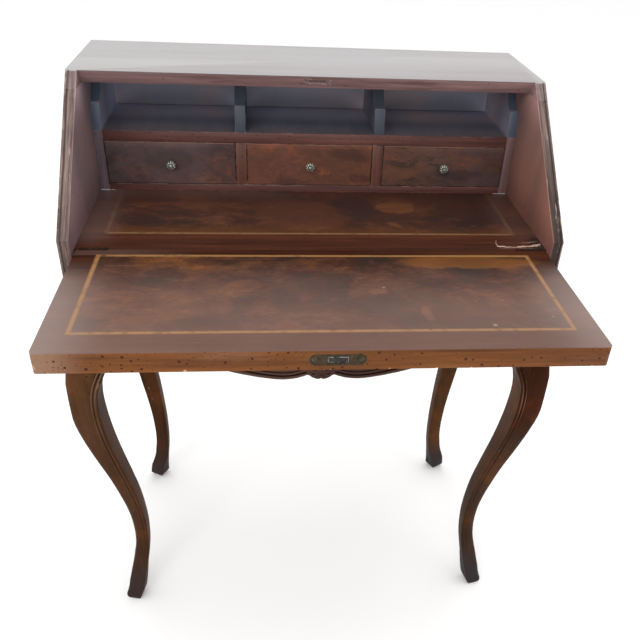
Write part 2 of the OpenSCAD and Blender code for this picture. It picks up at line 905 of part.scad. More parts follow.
// A shield on the outer face of the fall, round the keyhole
module key_escutcheon()
    place()
        color("#9a8a58")
            difference() {
                translate([lock_x, key_y, fall_low - scutcheon_t]) {
                    cylinder(h = scutcheon_t, r = scutcheon_rx);
                    translate([0, scutcheon_l, 0])
                        cylinder(h = scutcheon_t, r = scutcheon_rx * 0.7);
                }
                key_way(fall_low - scutcheon_t - eps, fall_low + eps);
            }

// Strike, drawn against the open fall and turned to the edge of the top

module strike_outline(out, depth)
    block(
        [lock_x - strike_l / 2, hinge_y - slope_len - depth, lock_z - strike_w / 2],
        [lock_x + strike_l / 2, hinge_y - slope_len + out, lock_z + strike_w / 2]
    );

module strike_screw_holes(l)
    for (s = [-1, 1])
        translate([lock_x + s * strike_screw_x, hinge_y - slope_len, lock_z])
            rotate([90, 0, 0])
                screw_hole(l);

module strike_plate()
    place()
        color("#8c7a4c")
            closed()
                difference() {
                    strike_outline(0, strike_t);
                    bolt_way(hinge_y - slope_len - strike_t - eps, hinge_y - slope_len + eps);
                    strike_screw_holes(strike_t);
                }

module strike_screws()
    place()
        color("#75705f")
            closed()
                for (s = [-1, 1])
                    translate([lock_x + s * strike_screw_x, hinge_y - slope_len, lock_z])
                        rotate([90, 0, 0])
                            screw(strike_screw_l - 1);

side_panel_left();
side_panel_right();
top_board();
back_board();
writing_board();
bottom_board();
frieze_panel();
hinge_rail();
front_apron();
side_apron_left();
side_apron_right();
back_rail();
leg_front_left();
leg_front_right();
leg_back_left();
leg_back_right();
loper_guide_left();
loper_guide_right();
unit_end_left();
unit_end_right();
unit_base();
unit_shelf();
partition_left();
partition_right();
divider_left();
divider_right();
drawer_left_front();
drawer_left_frame();
drawer_left_bottom();
drawer_left_knob();
drawer_middle_front();
drawer_middle_frame();
drawer_middle_bottom();
drawer_middle_knob();
drawer_right_front();
drawer_right_frame();
drawer_right_bottom();
drawer_right_knob();
fall_panel();
hinge_fixed_leaf_left();
hinge_fixed_leaf_right();
hinge_moving_leaf_left();
hinge_moving_leaf_right();
hinge_pins();
hinge_fixed_screws();
hinge_moving_screws();
lock_plate();
lock_case();
lock_bolt();
lock_screws();
key_escutcheon();
strike_plate();
strike_screws();
loper_left();
loper_right();
loper_stop_left();
loper_stop_right();
loper_knob_left();
loper_knob_right();
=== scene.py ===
"""Dresses the drop-front desk: softened boards, cabriole legs with beads, veneers and fittings.

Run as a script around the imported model. All sizes are metres and all places are in the
model's own frame: X to the right, Y from front to back, Z up.
"""
import json
import math

import bmesh
import bpy
from mathutils import Euler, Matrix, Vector

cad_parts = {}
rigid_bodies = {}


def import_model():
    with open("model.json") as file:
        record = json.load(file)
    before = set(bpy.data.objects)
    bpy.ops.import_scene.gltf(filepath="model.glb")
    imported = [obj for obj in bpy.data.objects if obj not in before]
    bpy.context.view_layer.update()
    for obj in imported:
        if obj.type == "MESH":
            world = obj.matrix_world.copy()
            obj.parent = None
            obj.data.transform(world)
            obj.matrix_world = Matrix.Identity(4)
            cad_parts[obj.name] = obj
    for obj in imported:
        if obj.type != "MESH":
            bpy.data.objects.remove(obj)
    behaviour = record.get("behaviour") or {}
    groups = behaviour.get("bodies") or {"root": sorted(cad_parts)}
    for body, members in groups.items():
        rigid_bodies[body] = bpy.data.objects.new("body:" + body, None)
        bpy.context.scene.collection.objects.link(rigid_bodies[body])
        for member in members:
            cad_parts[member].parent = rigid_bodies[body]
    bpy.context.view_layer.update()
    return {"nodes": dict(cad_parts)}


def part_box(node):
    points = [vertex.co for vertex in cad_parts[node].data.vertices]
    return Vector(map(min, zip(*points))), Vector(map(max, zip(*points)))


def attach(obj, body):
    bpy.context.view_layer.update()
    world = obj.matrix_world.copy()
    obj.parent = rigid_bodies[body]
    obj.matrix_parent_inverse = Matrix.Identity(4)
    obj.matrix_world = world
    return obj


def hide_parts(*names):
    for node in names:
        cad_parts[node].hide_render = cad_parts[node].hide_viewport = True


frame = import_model()

bl_info = {
    "name": "Drop-front desk",
    "version": (1, 0, 0),
    "blender": (4, 5, 0),
    "location": "3D View > Sidebar > Desk",
    "description": "Dresses a slant-fronted writing desk piece by piece",
    "category": "Object",
}

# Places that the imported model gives
SIDE_FROM, SIDE_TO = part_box("side_panel_right")
FRONT, CASE_LOW, JOINT_Z = SIDE_FROM.y, SIDE_FROM.z, SIDE_TO.z
INNER, HALF = SIDE_FROM.x, SIDE_TO.x
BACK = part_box("back_board")[1].y
TOP_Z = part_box("top_board")[1].z
TOP_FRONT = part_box("top_board")[0].y
WRITE_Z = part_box("writing_board")[1].z
FALL_FROM, FALL_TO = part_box("fall_panel")
EDGE_Y, FALL_LOW = FALL_FROM.y, FALL_FROM.z
SEAM_Y = (FALL_TO.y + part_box("writing_board")[0].y) / 2
UNIT_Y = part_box("unit_base")[0].y
LOCK_X = (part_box("lock_plate")[0].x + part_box("lock_plate")[1].x) / 2
SHELF_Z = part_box("unit_shelf")[1].z
END_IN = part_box("unit_end_right")[0].x

DRAWER_LOW, DRAWER_TOP = (corner.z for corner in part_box("drawer_middle_front"))
DRAWER_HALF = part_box("drawer_middle_front")[1].x
DRAWER_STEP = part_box("drawer_right_front")[1].x - DRAWER_HALF
POST_X = 0.112  # within the post between the middle and the right drawer

# The photograph's camera, fitted to the corners measured in it. Lengths and places on the
# picture are in its pixels.
CAMERA_AT = Vector((-0.0770, BACK - 1.3647, 1.2185))
CAMERA_TURN = Euler((0.95638, -0.04799, -0.09499))
CAMERA_FOCAL = 735.8
CAMERA_MIDDLE = (344.2, 377.2)
PICTURE = 640
SENSOR = 36.0

# What comes in pairs: its way along X and its name
HANDS = ((-1, "left"), (1, "right"))

# The legs and aprons, as the model's source draws them
KNEE_OUT = 0.0235
FOOT_BACK = 0.010
FOOT_HIGH = 0.085
BACK_FOOT_IN = 0.012
HEAD_W = 0.044
HEAD_HIGH = 0.047
HEAD_LOW = CASE_LOW - HEAD_HIGH
APRON_HALF = HALF - HEAD_W
APRON_MID = 0.0075
APRON_DROP = 0.069
GROOVE_IN = 0.0042
GROOVE_WIDE = 0.0022
BEAD_PROUD = 0.0018
BEAD_FROM = 0.135
SIDE_RISE = HEAD_HIGH * 0.38
# How far a foot is turned out, in degrees, and how much of its width is kept
FRONT_TOE = (13, 0.95)
BACK_TOE = (32, 0.89)
LEG_OUTER = (
    (0, 0.10), (0.012, -0.06), (0.03, -0.25), (0.065, -0.41), (0.1, -0.64), (0.13, -0.84),
    (0.16, -1.04), (0.194, -1.21), (0.226, -1.29), (0.258, -1.32), (0.323, -1.25), (0.387, -1.04),
    (0.452, -0.74), (0.516, -0.41), (0.581, -0.02), (0.645, 0.36), (0.71, 0.7), (0.758, 0.9),
    (0.806, 1), (0.855, 0.99), (0.903, 0.87), (0.95, 0.5), (1, 0),
)
LEG_INNER = (
    (0, 0.76), (0.03, 0.85), (0.07, 0.95), (0.11, 1.04), (0.144, 1.13), (0.19, 1.22),
    (0.23, 1.265), (0.28, 1.285), (0.323, 1.27), (0.36, 1.24), (0.403, 1.19), (0.44, 1.13),
    (0.484, 1.04), (0.54, 0.92), (0.6, 0.79), (0.65, 0.69), (0.71, 0.595), (0.76, 0.54),
    (0.8, 0.515), (0.83, 0.53), (0.86, 0.6), (0.89, 0.75),
)
APRON_CURVE = (
    (0, 0.04), (0.013, 0.015), (0.025, 0.02), (0.044, 0.06), (0.063, 0.115), (0.085, 0.085),
    (0.12, 0.04), (0.165, 0.015), (0.203, 0.015), (0.266, 0.05), (0.348, 0.12), (0.456, 0.235),
    (0.57, 0.4), (0.68, 0.57), (0.775, 0.66), (0.854, 0.64),
)


def smooth_at(stations, t):
    """The value at t of the smooth curve through stations of (t, value)."""
    t = min(max(t, stations[0][0]), stations[-1][0])
    i = max(k for k in range(len(stations) - 1) if stations[k][0] <= t or k == 0)
    u = (t - stations[i][0]) / (stations[i + 1][0] - stations[i][0])
    a = stations[max(i - 1, 0)][1]
    b, c = stations[i][1], stations[i + 1][1]
    d = stations[min(i + 2, len(stations) - 1)][1]
    return (2 * b + (c - a) * u + (2 * a - 5 * b + 4 * c - d) * u * u
            + (3 * b - 3 * c + d - a) * u ** 3) / 2


# ---- Settings


def size(name, default, about):
    """A length that the user can change."""
    return bpy.props.FloatProperty(
        name=name, description=about, default=default, min=0.0, subtype="DISTANCE",
        unit="LENGTH", precision=4)


def tint(name, default, about):
    """A colour that the user can change."""
    return bpy.props.FloatVectorProperty(
        name=name, description=about, default=default, size=3, min=0.0, max=1.0, subtype="COLOR")


class DeskShape(bpy.types.PropertyGroup):
    """Sizes of the dressing"""
    board_arris: size("Board arris", 0.0016, "Rounding of the worn edges of the case boards")
    fine_arris: size("Fine arris", 0.0008, "Rounding of the edges of thin boards")
    knee_round: size("Knee rounding", 0.009, "Rounding of the outer corner of a leg")
    sole_round: size("Sole rounding", 0.010, "Rounding of the sole of a foot")
    leg_round: size("Leg rounding", 0.0025, "Rounding of the other corners of a leg")
    bead: size("Bead", 0.0030, "Radius of the larger bead on the legs and aprons")
    fillet: size("Fillet bead", 0.0020, "Radius of the smaller bead beside it")
    line: size("Stringing", 0.0030, "Half the width of the stringing")
    groove: size("Edge groove", 0.0011, "Depth of the groove along the side panels' front edge")


class DeskFinish(bpy.types.PropertyGroup):
    """Colours of the finishes"""
    walnut: tint("Walnut", (0.125, 0.058, 0.038), "Waxed walnut of the case")
    border: tint("Border", (0.051, 0.0145, 0.0064), "Plain veneer round the burl")
    burl: tint("Burl", (0.066, 0.026, 0.017), "Middle tone of the burl veneer")
    burl_dark: tint("Burl shade", (0.020, 0.014, 0.013), "Dark clouds in the burl veneer")
    burl_warm: tint("Burl light", (0.165, 0.062, 0.024), "Light figure in the burl veneer")
    stringing: tint("Stringing", (0.285, 0.150, 0.066), "Boxwood stringing")
    leg: tint("Leg walnut", (0.053, 0.0195, 0.0065), "Waxed walnut of the legs and aprons")
    raw_wood: tint("Raw wood", (0.46, 0.30, 0.19), "Bare wood where an edge is worn")
    pine: tint("Carcass pine", (0.21, 0.125, 0.07), "Unfinished wood inside the case")
    brass: tint("Brass", (0.030, 0.018, 0.011), "Dull brass of the hinges")
    iron: tint("Iron", (0.044, 0.031, 0.015), "Browned iron of the lock")
    floor: tint("Floor", (0.99, 0.99, 0.99), "Plain pale floor")


# ---- Shader maths


class Wire:
    """A socket of a finish, so that its shader maths is written as sums."""

    def __init__(self, finish, socket):
        self.finish, self.socket = finish, socket

    def _sum(self, operation, a, b=None, c=None):
        values = {i: v for i, v in enumerate((a, b, c)) if v is not None}
        return self.finish.node("ShaderNodeMath", {"operation": operation}, values)

    def __add__(self, other):
        return self._sum("ADD", self, other)

    __radd__ = __add__

    def __sub__(self, other):
        return self._sum("SUBTRACT", self, other)

    def __rsub__(self, other):
        return self._sum("SUBTRACT", other, self)

    def __mul__(self, other):
        return self._sum("MULTIPLY", self, other)

    __rmul__ = __mul__

    def __truediv__(self, other):
        return self._sum("DIVIDE", self, other)

    def __rtruediv__(self, other):
        return self._sum("DIVIDE", other, self)

    def __pow__(self, other):
        return self._sum("POWER", self, other)

    def __abs__(self):
        return self._sum("ABSOLUTE", self)

    def over(self, other):
        """The larger of the two."""
        return self._sum("MAXIMUM", self, other)

    def whole(self):
        """The whole number below."""
        return self._sum("FLOOR", self)

    def step(self, low, high):
        """0 below low, 1 above high and a soft rise between. With low above high it falls."""
        flip = low > high
        rise = self.finish.node(
            "ShaderNodeMapRange", {"interpolation_type": "SMOOTHSTEP"},
            {"Value": self, "From Min": min(low, high), "From Max": max(low, high)})
        return 1 - rise if flip else rise


# Each finish by its name, once it is made
FINISHES = {}
# Old dirt and painted shade in a groove, and the dark of a wormhole
GROOVE_DIRT_AND_SHADE = (0.030, 0.016, 0.014)
HOLE_DARK = (0.010, 0.006, 0.005)


class Finish:
    """One material: a Principled shader whose colour, roughness and bump are worked out."""

    def __init__(self, name):
        self.look = bpy.context.scene.desk_finish
        self.material = bpy.data.materials.new(name)
        self.material.use_nodes = True
        self.tree = self.material.node_tree
        self.tree.nodes.clear()
        out = self.tree.nodes.new("ShaderNodeOutputMaterial")
        self.shader = self.tree.nodes.new("ShaderNodeBsdfPrincipled")
        self.tree.links.new(self.shader.outputs[0], out.inputs[0])
        self.place = self.node("ShaderNodeTexCoord", out="Object")
        split = self.tree.nodes.new("ShaderNodeSeparateXYZ")
        self.tree.links.new(self.place.socket, split.inputs[0])
        self.x, self.y, self.z = (Wire(self, s) for s in split.outputs)

    def feed(self, socket, value):
        """Links a wire to a socket, or sets the socket's value."""
        if isinstance(value, Wire):
            self.tree.links.new(value.socket, socket)
        elif hasattr(value, "__len__") and len(socket.default_value) == len(value) + 1:
            socket.default_value = (*value, 1.0)
        else:
            socket.default_value = value

    def node(self, kind, settings=None, values=None, out=0):
        """Adds a node: its settings first, then the values or links of its sockets."""
        made = self.tree.nodes.new(kind)
        for key, value in (settings or {}).items():
            if key == "stops":
                ramp = made.color_ramp
                while len(ramp.elements) < len(value):
                    ramp.elements.new(1.0)
                for stop, (at, colour) in zip(ramp.elements, value):
                    stop.position, stop.color = at, (*colour, 1.0)
            else:
                setattr(made, key, value)
        for key, value in (values or {}).items():
            self.feed(made.inputs[key], value)
        return Wire(self, made.outputs[out])

    def stretched(self, scale, turn=(0, 0, 0), shift=(0, 0, 0)):
        """The place on the piece, stretched along its axes and turned."""
        return self.node(
            "ShaderNodeMapping", {},
            {"Vector": self.place, "Scale": scale, "Rotation": turn, "Location": shift})

    def noise(self, where, scale=1.0, detail=4.0, rough=0.55, bend=0.0, out="Fac"):
        """Cloudy noise."""
        return self.node(
            "ShaderNodeTexNoise", {},
            {"Vector": where, "Scale": scale, "Detail": detail, "Roughness": rough,
             "Distortion": bend}, out)

    def streaks(self, scale, detail, rough, bend=0.0, out="Fac", **place):
        """Noise that is stretched along the piece's axes."""
        return self.noise(self.stretched(scale, **place), 1.0, detail, rough, bend, out)

    def cells(self, where, scale, out="Distance", flat=False):
        """Distance to the nearest of scattered points, or its cell's own colour."""
        return self.node(
            "ShaderNodeTexVoronoi", {"voronoi_dimensions": "2D" if flat else "3D"},
            {"Vector": where, "Scale": scale}, out)

    def moved(self, where, by, how_far):
        """A place pushed about by a noise colour."""
        centred = self.vector("SUBTRACT", {0: by, 1: (0.5, 0.5, 0.5)})
        pushed = self.vector("SCALE", {0: centred, "Scale": how_far})
        return self.vector("ADD", {0: where, 1: pushed})

    def vector(self, operation, values, out=0):
        """Sums of places."""
        return self.node("ShaderNodeVectorMath", {"operation": operation}, values, out)

    def times(self, colour, by, share):
        """A colour multiplied by another, by a share from 0 to 1."""
        return self.mix(colour, by, share, "MULTIPLY")

    def mix(self, a, b, share, blend="MIX"):
        """Colour a turned to b by a share from 0 to 1."""
        return self.node(
            "ShaderNodeMix", {"data_type": "RGBA", "blend_type": blend}, {0: share, 6: a, 7: b}, 2)

    def mix_number(self, a, b, share):
        """Number a turned to b by a share from 0 to 1."""
        return (1 - share) * a + share * b

    def ramp(self, value, *stops):
        """A colour for each value from 0 to 1."""
        return self.node("ShaderNodeValToRGB", {"stops": stops}, {0: value})

    def on_right(self):
        """0 left of the middle, rising to 1 at 100 mm to the right of it."""
        return self.x.step(0.0, 0.1)

    def mark(self, name):
        """1 where the piece carries a mark, such as an arris or a hollow. 0 elsewhere."""
        return self.node("ShaderNodeAttribute", {"attribute_name": name}, out="Fac")

    def set(self, colour, rough, bump=None, lift=0.0005, **steady):
        """Feeds the shader. steady holds the sockets that are the same all over."""
        self.feed(self.shader.inputs["Base Color"], colour)
        self.feed(self.shader.inputs["Roughness"], rough)
        if bump is not None:
            made = self.node("ShaderNodeBump", {}, {"Distance": lift, "Height": bump})
            self.feed(self.shader.inputs["Normal"], made)
        for key, value in steady.items():
            socket = key.replace("_", " ").title().replace("Ior", "IOR")
            self.feed(self.shader.inputs[socket], value)
        FINISHES[self.material.name] = self.material
        return self.material


def scaled(colour, by):
    """A colour made lighter or darker."""
    return tuple(min(1.0, c * by) for c in colour)


def scaled_by(f, colour, by):
    """A colour wire made darker by a number."""
    return f.mix(colour, (0.0, 0.0, 0.0), 1 - by)


def grain_figure(f, along, size_of=1.0, seed=0.0):
    """Straight-grained wood: (figure, pores), each about 0 to 1, for a grain along an axis."""
    long_way = {"X": (1, 0, 0), "Y": (0, 1, 0), "Z": (0, 0, 1)}[along]

    def spread(fine, coarse):
        return tuple((coarse if a else fine) * size_of for a in long_way)
    shift = (seed, seed * 1.7, seed * 0.6)
    bend = f.noise(f.stretched(spread(5, 1.4), shift=shift), 1.0, 3, 0.5, out="Color")
    lines = f.noise(f.moved(f.stretched(spread(38, 2.2), shift=shift), bend, 1.3), 1.0, 5, 0.6)
    streaks = f.noise(f.stretched(spread(190, 7), shift=shift), 1.0, 3, 0.6)
    pores = f.noise(f.stretched(spread(900, 45), shift=shift), 1.0, 2, 0.5)
    return lines * 0.62 + streaks * 0.38, pores


def plain_wood(f, along, tone, seed, contrast=1.0):
    """Straight-grained wood about a tone. Returns (colour, figure, patches)."""
    figure, pores = grain_figure(f, along, seed=seed)
    patches = f.noise(f.place, 3.1, 3, 0.5)
    wood = f.ramp(
        (figure - 0.5) * contrast + 0.5 + (patches - 0.5) * 0.3,
        (0.28, scaled(tone, 0.45)), (0.43, scaled(tone, 0.72)), (0.56, tone),
        (0.74, scaled(tone, 1.5)))
    wood = f.mix(wood, scaled(tone, 0.3), pores.step(0.60, 0.72) * 0.35)
    return wood, figure - pores.step(0.58, 0.74) * 0.4, patches


def rubbed(f, wood, amount, bare=None):
    """Bare wood where the arrises are rubbed through or knocked."""
    thin = f.noise(f.place, 40, 5, 0.65).step(0.50, 0.62)
    knocks = f.noise(f.place, 120, 2).step(0.60, 0.68)
    return f.mix(wood, bare or f.look.raw_wood, f.mark("arris") * thin.over(knocks) * amount)


def pits(f, cell, big, face="XZ", share=0.5, seed=0.0):
    """1 in the pinholes of old woodworm, at most one to a cell. Face DZ serves fronts and sides."""
    axes = {"X": f.x, "Y": f.y, "Z": f.z, "D": f.x + f.y}
    at = f.node("ShaderNodeCombineXYZ", {}, {0: axes[face[0]], 1: axes[face[1]], 2: 0.0})
    at = f.vector("ADD", {0: at, 1: (seed, seed * 0.37, 0)})
    worm = f.cells(at, 1 / cell, flat=True)
    each = f.cells(at, 1 / cell, "Color", flat=True)
    draw = f.node("ShaderNodeSeparateColor", {}, {0: each})
    radius = (draw - share) * (big / cell / (1 - share))
    return (worm - radius).step(0.035, -0.025)


def holed(f, wood, height, hole):
    """Wood and height with pinholes in them."""
    return f.mix(wood, HOLE_DARK, hole), height - hole * 3


def greyed_edge(f):
    """The grey streaks of the case's front edges."""
    streak = f.streaks((420, 16, 16), 4, 0.6)
    return f.ramp(
        streak, (0.36, (0.062, 0.040, 0.038)), (0.5, (0.125, 0.088, 0.080)),
        (0.64, (0.235, 0.172, 0.15)))


def groove_dirt_and_shade(f):
    """1 in the groove near the outer faces."""
    middle = HALF - GROOVE_IN - GROOVE_WIDE / 2
    return abs(abs(f.x) - middle).step(GROOVE_WIDE * 0.62, GROOVE_WIDE * 0.4)


def from_bay(f):
    """Distance across from the middle of the nearest drawer."""
    return abs(f.x - (f.x / DRAWER_STEP + 0.5).whole() * DRAWER_STEP)


def side_walnut():
    """Waxed walnut of the side panels: milky inside with painted sheen and painted light and shade,
    greyed and streaked along the front edges.
    """
    f = Finish("side_walnut")
    wood, height, patches = plain_wood(f, "Z", f.look.walnut, 0.0)
    inner = abs(f.x).step(INNER + 0.0012, INNER + 0.0004)
    mottled = f.streaks((1, 14, 6), 6, 0.6, 0.4)
    # The inner faces: a milky bloom raised with painted sheen.
    bloom_and_painted_light = f.ramp(
        mottled, (0.34, (0.225, 0.130, 0.117)), (0.50, (0.278, 0.152, 0.132)),
        (0.66, (0.325, 0.178, 0.147)))
    # Painted light and shade by place: bluer on the left panel, darker toward the writing board,
    # much lighter under the top board where its shadow falls, warmer low on the right panel.
    bloom_and_painted_light = f.times(bloom_and_painted_light, (1.05, 1.35, 1.65), f.x.step(0.1, -0.1))
    bloom_and_painted_light = f.times(bloom_and_painted_light, (0.66, 0.60, 0.62), f.z.step(WRITE_Z + 0.06, WRITE_Z))
    bloom_and_painted_light = f.times(bloom_and_painted_light, (1.90, 2.00, 2.20), f.z.step(0.880, 0.940))
    bloom_and_painted_light = f.times(bloom_and_painted_light, (1.10, 0.93, 0.84), f.on_right() * f.z.step(0.88, 0.80))
    wood = f.mix(wood, bloom_and_painted_light, inner * (0.60 + patches * 0.3))
    edge = abs(f.x).step(INNER + 0.0010, INNER + 0.0018)
    edge = edge * abs(f.x).step(HALF - 0.0002, HALF - 0.001)
    greyed = greyed_edge(f)
    front = f.y.step(BACK - 0.02, BACK - 0.03)
    # The right panel's front edge is darker, most toward the bottom.
    right_low_darker = f.on_right() * (0.20 + f.z.step(0.90, 0.80) * 0.80)
    greyed = f.mix(greyed, scaled_by(f, greyed, 0.15), right_low_darker)
    wood = f.mix(wood, greyed, edge * front * 0.85)
    # Dirt and painted shade darken the groove.
    wood = f.mix(wood, GROOVE_DIRT_AND_SHADE, groove_dirt_and_shade(f) * front * (0.45 + mottled * 0.4))
    wood = rubbed(f, wood, 0.7, (0.34, 0.23, 0.17))
    flaw = f.streaks((160, 22, 22), 3, 0.6).step(0.63, 0.70) * edge * front
    wood = f.mix(wood, (0.50, 0.40, 0.34), flaw * 0.43)
    wood, height = holed(f, wood, height, pits(f, 0.021, 0.0010, "DZ", 0.6) * 0.8)
    return f.set(wood, 0.38 + patches * 0.12, height, 0.00022, specular_ior_level=0.22)


def top_walnut():
    """Walnut of the top board: greyed above by dust and a painted sheen, red-brown under the front
    and lightened there with painted light.
    """
    f = Finish("top_walnut")
    wood, height = plain_wood(f, "X", f.look.walnut, 3.0)[:2]
    figure = f.streaks((3, 34, 26), 6, 0.62, 0.2)
    above = f.z.step(TOP_Z - 0.0022, TOP_Z - 0.0008)
    # Grey dust and a painted sheen on the top face.
    dust_and_sheen = f.mix((0.375, 0.368, 0.378), (0.340, 0.322, 0.322), figure.step(0.40, 0.72))
    wood = f.mix(wood, dust_and_sheen, above * (0.76 - f.x.step(0.0, 0.34) * 0.06))
    below = (1 - above) * (f.y - TOP_FRONT).step(0.060, 0.050)
    ends = abs(f.x).step(INNER - 0.0005, INNER + 0.0015)
    # The band under the front is red-brown, made much lighter with painted light.
    red = plain_wood(f, "X", (0.325, 0.198, 0.194), 6.0, 1.3)[0]
    streak = f.streaks((9, 60, 60), 4, 0.6).step(0.52, 0.66)
    red = f.mix(red, (0.150, 0.082, 0.080), streak * 0.6)
    wood = f.mix(wood, f.mix(red, greyed_edge(f), ends * 0.85), below)
    # Dirt and painted shade darken the groove under the front.
    wood = f.mix(wood, GROOVE_DIRT_AND_SHADE, groove_dirt_and_shade(f) * below * 0.6)
    wood = rubbed(f, wood, 0.55, (0.46, 0.38, 0.34))
    wood, height = holed(f, wood, height, pits(f, 0.017, 0.0010, "XZ", 0.6) * below)
    spots = pits(f, 0.043, 0.0016, "XY", 0.7) * above
    wood = f.mix(wood, (0.20, 0.13, 0.11), spots * 0.6)
    f.feed(f.shader.inputs["Coat Weight"], above * 0.45)
    shine = 0.34 + (1 - above) * 0.12 + figure * 0.04
    return f.set(wood, shine, height, 0.00012, specular_ior_level=0.35, coat_roughness=0.26)


def rail_walnut(name, along, slate_from=None, rear_light=0.0, tone=(0.112, 0.044, 0.036)):
    """Red-brown walnut of the fitted interior's edges, on boards that are slate-brown inside, with
    painted light and shade on the unit's ends.
    """
    f = Finish(name)
    wood, height, patches = plain_wood(f, along, tone, 8.0, 1.2)
    wood, height = holed(f, wood, height, pits(f, 0.0085, 0.0010, "XZ", 0.55))
    # A pale line at the front foot of the unit's outer ends, just above the writing board.
    pale_foot_line = (f.z - WRITE_Z).step(0.0016, 0.0008) * abs(f.x).step(END_IN - 0.011, END_IN - 0.007)
    wood = f.mix(wood, (0.60, 0.56, 0.55), pale_foot_line * (f.y - UNIT_Y).step(0.003, 0.002))
    slate_tone, slate_height = slate(f, rear_light)
    inside = (f.y - UNIT_Y).step(0.0008, 0.0016)
    if slate_from is not None:
        inside = inside.over(f.z.step(slate_from - 0.001, slate_from + 0.001))
    wood = f.mix(wood, slate_tone, inside)
    end = abs(f.x).step(END_IN - 0.002, END_IN)
    under_shelf = f.z.step(SHELF_Z, SHELF_Z - 0.004)
    # Painted light on the unit's ends, more on the left, and painted shade under the shelf at the
    # right end.
    wood = f.times(wood, (1.20, 1.28, 1.40), end)
    wood = f.times(wood, (1.20, 1.27, 1.28), end * (1 - f.on_right()))
    wood = f.times(wood, (0.90, 0.79, 0.68), end * f.on_right() * under_shelf)
    wood = rubbed(f, wood, 0.45, (0.34, 0.22, 0.17))
    height = height * 0.5 + slate_height * 0.3
    return f.set(wood, 0.40 + patches * 0.12, height, 0.0002, specular_ior_level=0.3)


def slate(f, rear_light):
    """The slate-brown of the pigeonholes with painted light, as much as asked, paler to the back, a
    painted arched shadow at the back board's foot and painted light on the ends' inner faces.
    Returns (colour, figure).
    """
    figure, _ = grain_figure(f, "Y", 1.0, 7.3)
    cloud = f.noise(f.place, 7, 4, 0.55)
    deep = f.ramp(
        figure * 0.6 + cloud * 0.42,
        (0.36, (0.070, 0.074, 0.103)), (0.52, (0.098, 0.099, 0.130)), (0.68, (0.145, 0.124, 0.138)))
    if rear_light:
        # Painted light makes the pigeonholes paler toward the back.
        pale = f.mix((0.300, 0.315, 0.410), (0.420, 0.340, 0.350), cloud.step(0.42, 0.66))
        # A painted arched shadow darkens the foot of the back board.
        arch = (from_bay(f) / DRAWER_HALF) ** 4 * 0.030
        foot = (f.z + arch).step(SHELF_Z + 0.040, SHELF_Z + 0.004)
        foot = foot * (f.y - BACK).step(-0.018, -0.014)
        pale = f.times(pale, (rear_light, rear_light, rear_light), 1.0)
        pale = scaled_by(f, pale, 1 - foot * 0.52)
        deep = f.mix(deep, pale, f.y.step(UNIT_Y + 0.055, BACK - 0.020))
    near = (f.y - UNIT_Y).step(0.050, 0.010) * (f.z - SHELF_Z).step(0.004, 0.002)
    deep = f.times(deep, (0.96, 0.84, 0.74), near)
    # Painted light on the ends' inner faces.
    cheek = abs(f.x).step(END_IN - 0.003, END_IN - 0.001)
    deep = f.times(deep, f.mix((1.45, 1.36, 1.32), (1.48, 1.34, 1.22), f.on_right()), cheek)
    low = f.z.step(SHELF_Z + 0.045, SHELF_Z + 0.004)
    face = f.mix((0.056, 0.067, 0.089), (0.047, 0.055, 0.073), low)
    return f.mix(deep, face, f.mark("front")), figure


def fumed_walnut(name, rear_light):
    """The slate-brown wood of the dividers and of the pigeonholes' back, paler to the back with
    painted light and darker at its foot with a painted shadow.
    """
    f = Finish(name)
    wood, figure = slate(f, rear_light)
    wood = rubbed(f, wood, 0.4, (0.22, 0.21, 0.23))
    bare, grain, patches = plain_wood(f, "X", f.look.pine, 14.0, 1.3)
    seam = abs((f.z * 7.1).whole() - f.z * 7.1 + 0.5).step(0.494, 0.498)
    bare = f.mix(bare, scaled(f.look.pine, 0.35), patches.step(0.45, 0.75) * 0.5)
    bare = f.mix(bare, (0.02, 0.012, 0.008), seam)
    behind = f.y.step(BACK - 0.002, BACK - 0.001)
    wood = f.mix(wood, bare, behind)
    figure = f.mix_number(figure, grain - seam, behind)
    return f.set(wood, 0.42 + figure * 0.1, figure * 0.4, 0.0002, specular_ior_level=0.25)


def burl_figure(f, seed):
    """Burl veneer: (tone, folded place), the tone about 0.35 to 0.65."""
    at = f.stretched((6, 9, 9), shift=(seed, seed * 0.7, seed * 1.3))
    swirl = f.moved(at, f.noise(at, 0.7, 2, 0.5, out="Color"), 1.6)
    cloud = f.noise(swirl, 1.0, 6, 0.55, 0.7)
    folded = f.moved(at, f.noise(at, 1.7, 3, 0.6, out="Color"), 1.5)
    islands = f.noise(folded, 1.3, 3, 0.5).step(0.49, 0.53)
    islands = islands + f.noise(folded, 2.9, 2, 0.5).step(0.54, 0.57)
    eyes = f.cells(f.moved(swirl, f.noise(at, 5.0, 3, out="Color"), 0.7), 3.4)
    fine = f.noise(f.moved(at, f.noise(at, 3.0, 3, out="Color"), 0.8), 8.0, 5, 0.62, 0.5)
    grit = f.streaks((150, 190, 190), 3, 0.6)
    tone = (cloud - 0.5) * 0.72 + 0.5 + (islands - 0.75) * 0.040
    tone = tone + (fine - 0.5) * 0.36 + (eyes - 0.4) * 0.05 + (grit - 0.5) * 0.10
    return tone, folded


def blots(f, spots, ragged=0.030):
    """Soft ragged ovals on a flat board, each (x, y, half length, half width) and, where it is
    turned, its turn in degrees: 0 to 1."""
    ragged = f.moved(f.place, f.streaks((22, 30, 30), 4, 0.6, out="Color"), ragged)
    total = None
    for x, y, a, b, *turn in spots:
        oval = f.node(
            "ShaderNodeMapping", {"vector_type": "TEXTURE"},
            {"Vector": ragged, "Location": (x, y, WRITE_Z), "Scale": (a, b, 1.0),
             "Rotation": (0, 0, math.radians(sum(turn)))})
        far = f.vector("LENGTH", {0: oval}, "Value")
        spot = far.step(1.10, 0.78)
        total = spot if total is None else total.over(spot)
    return total


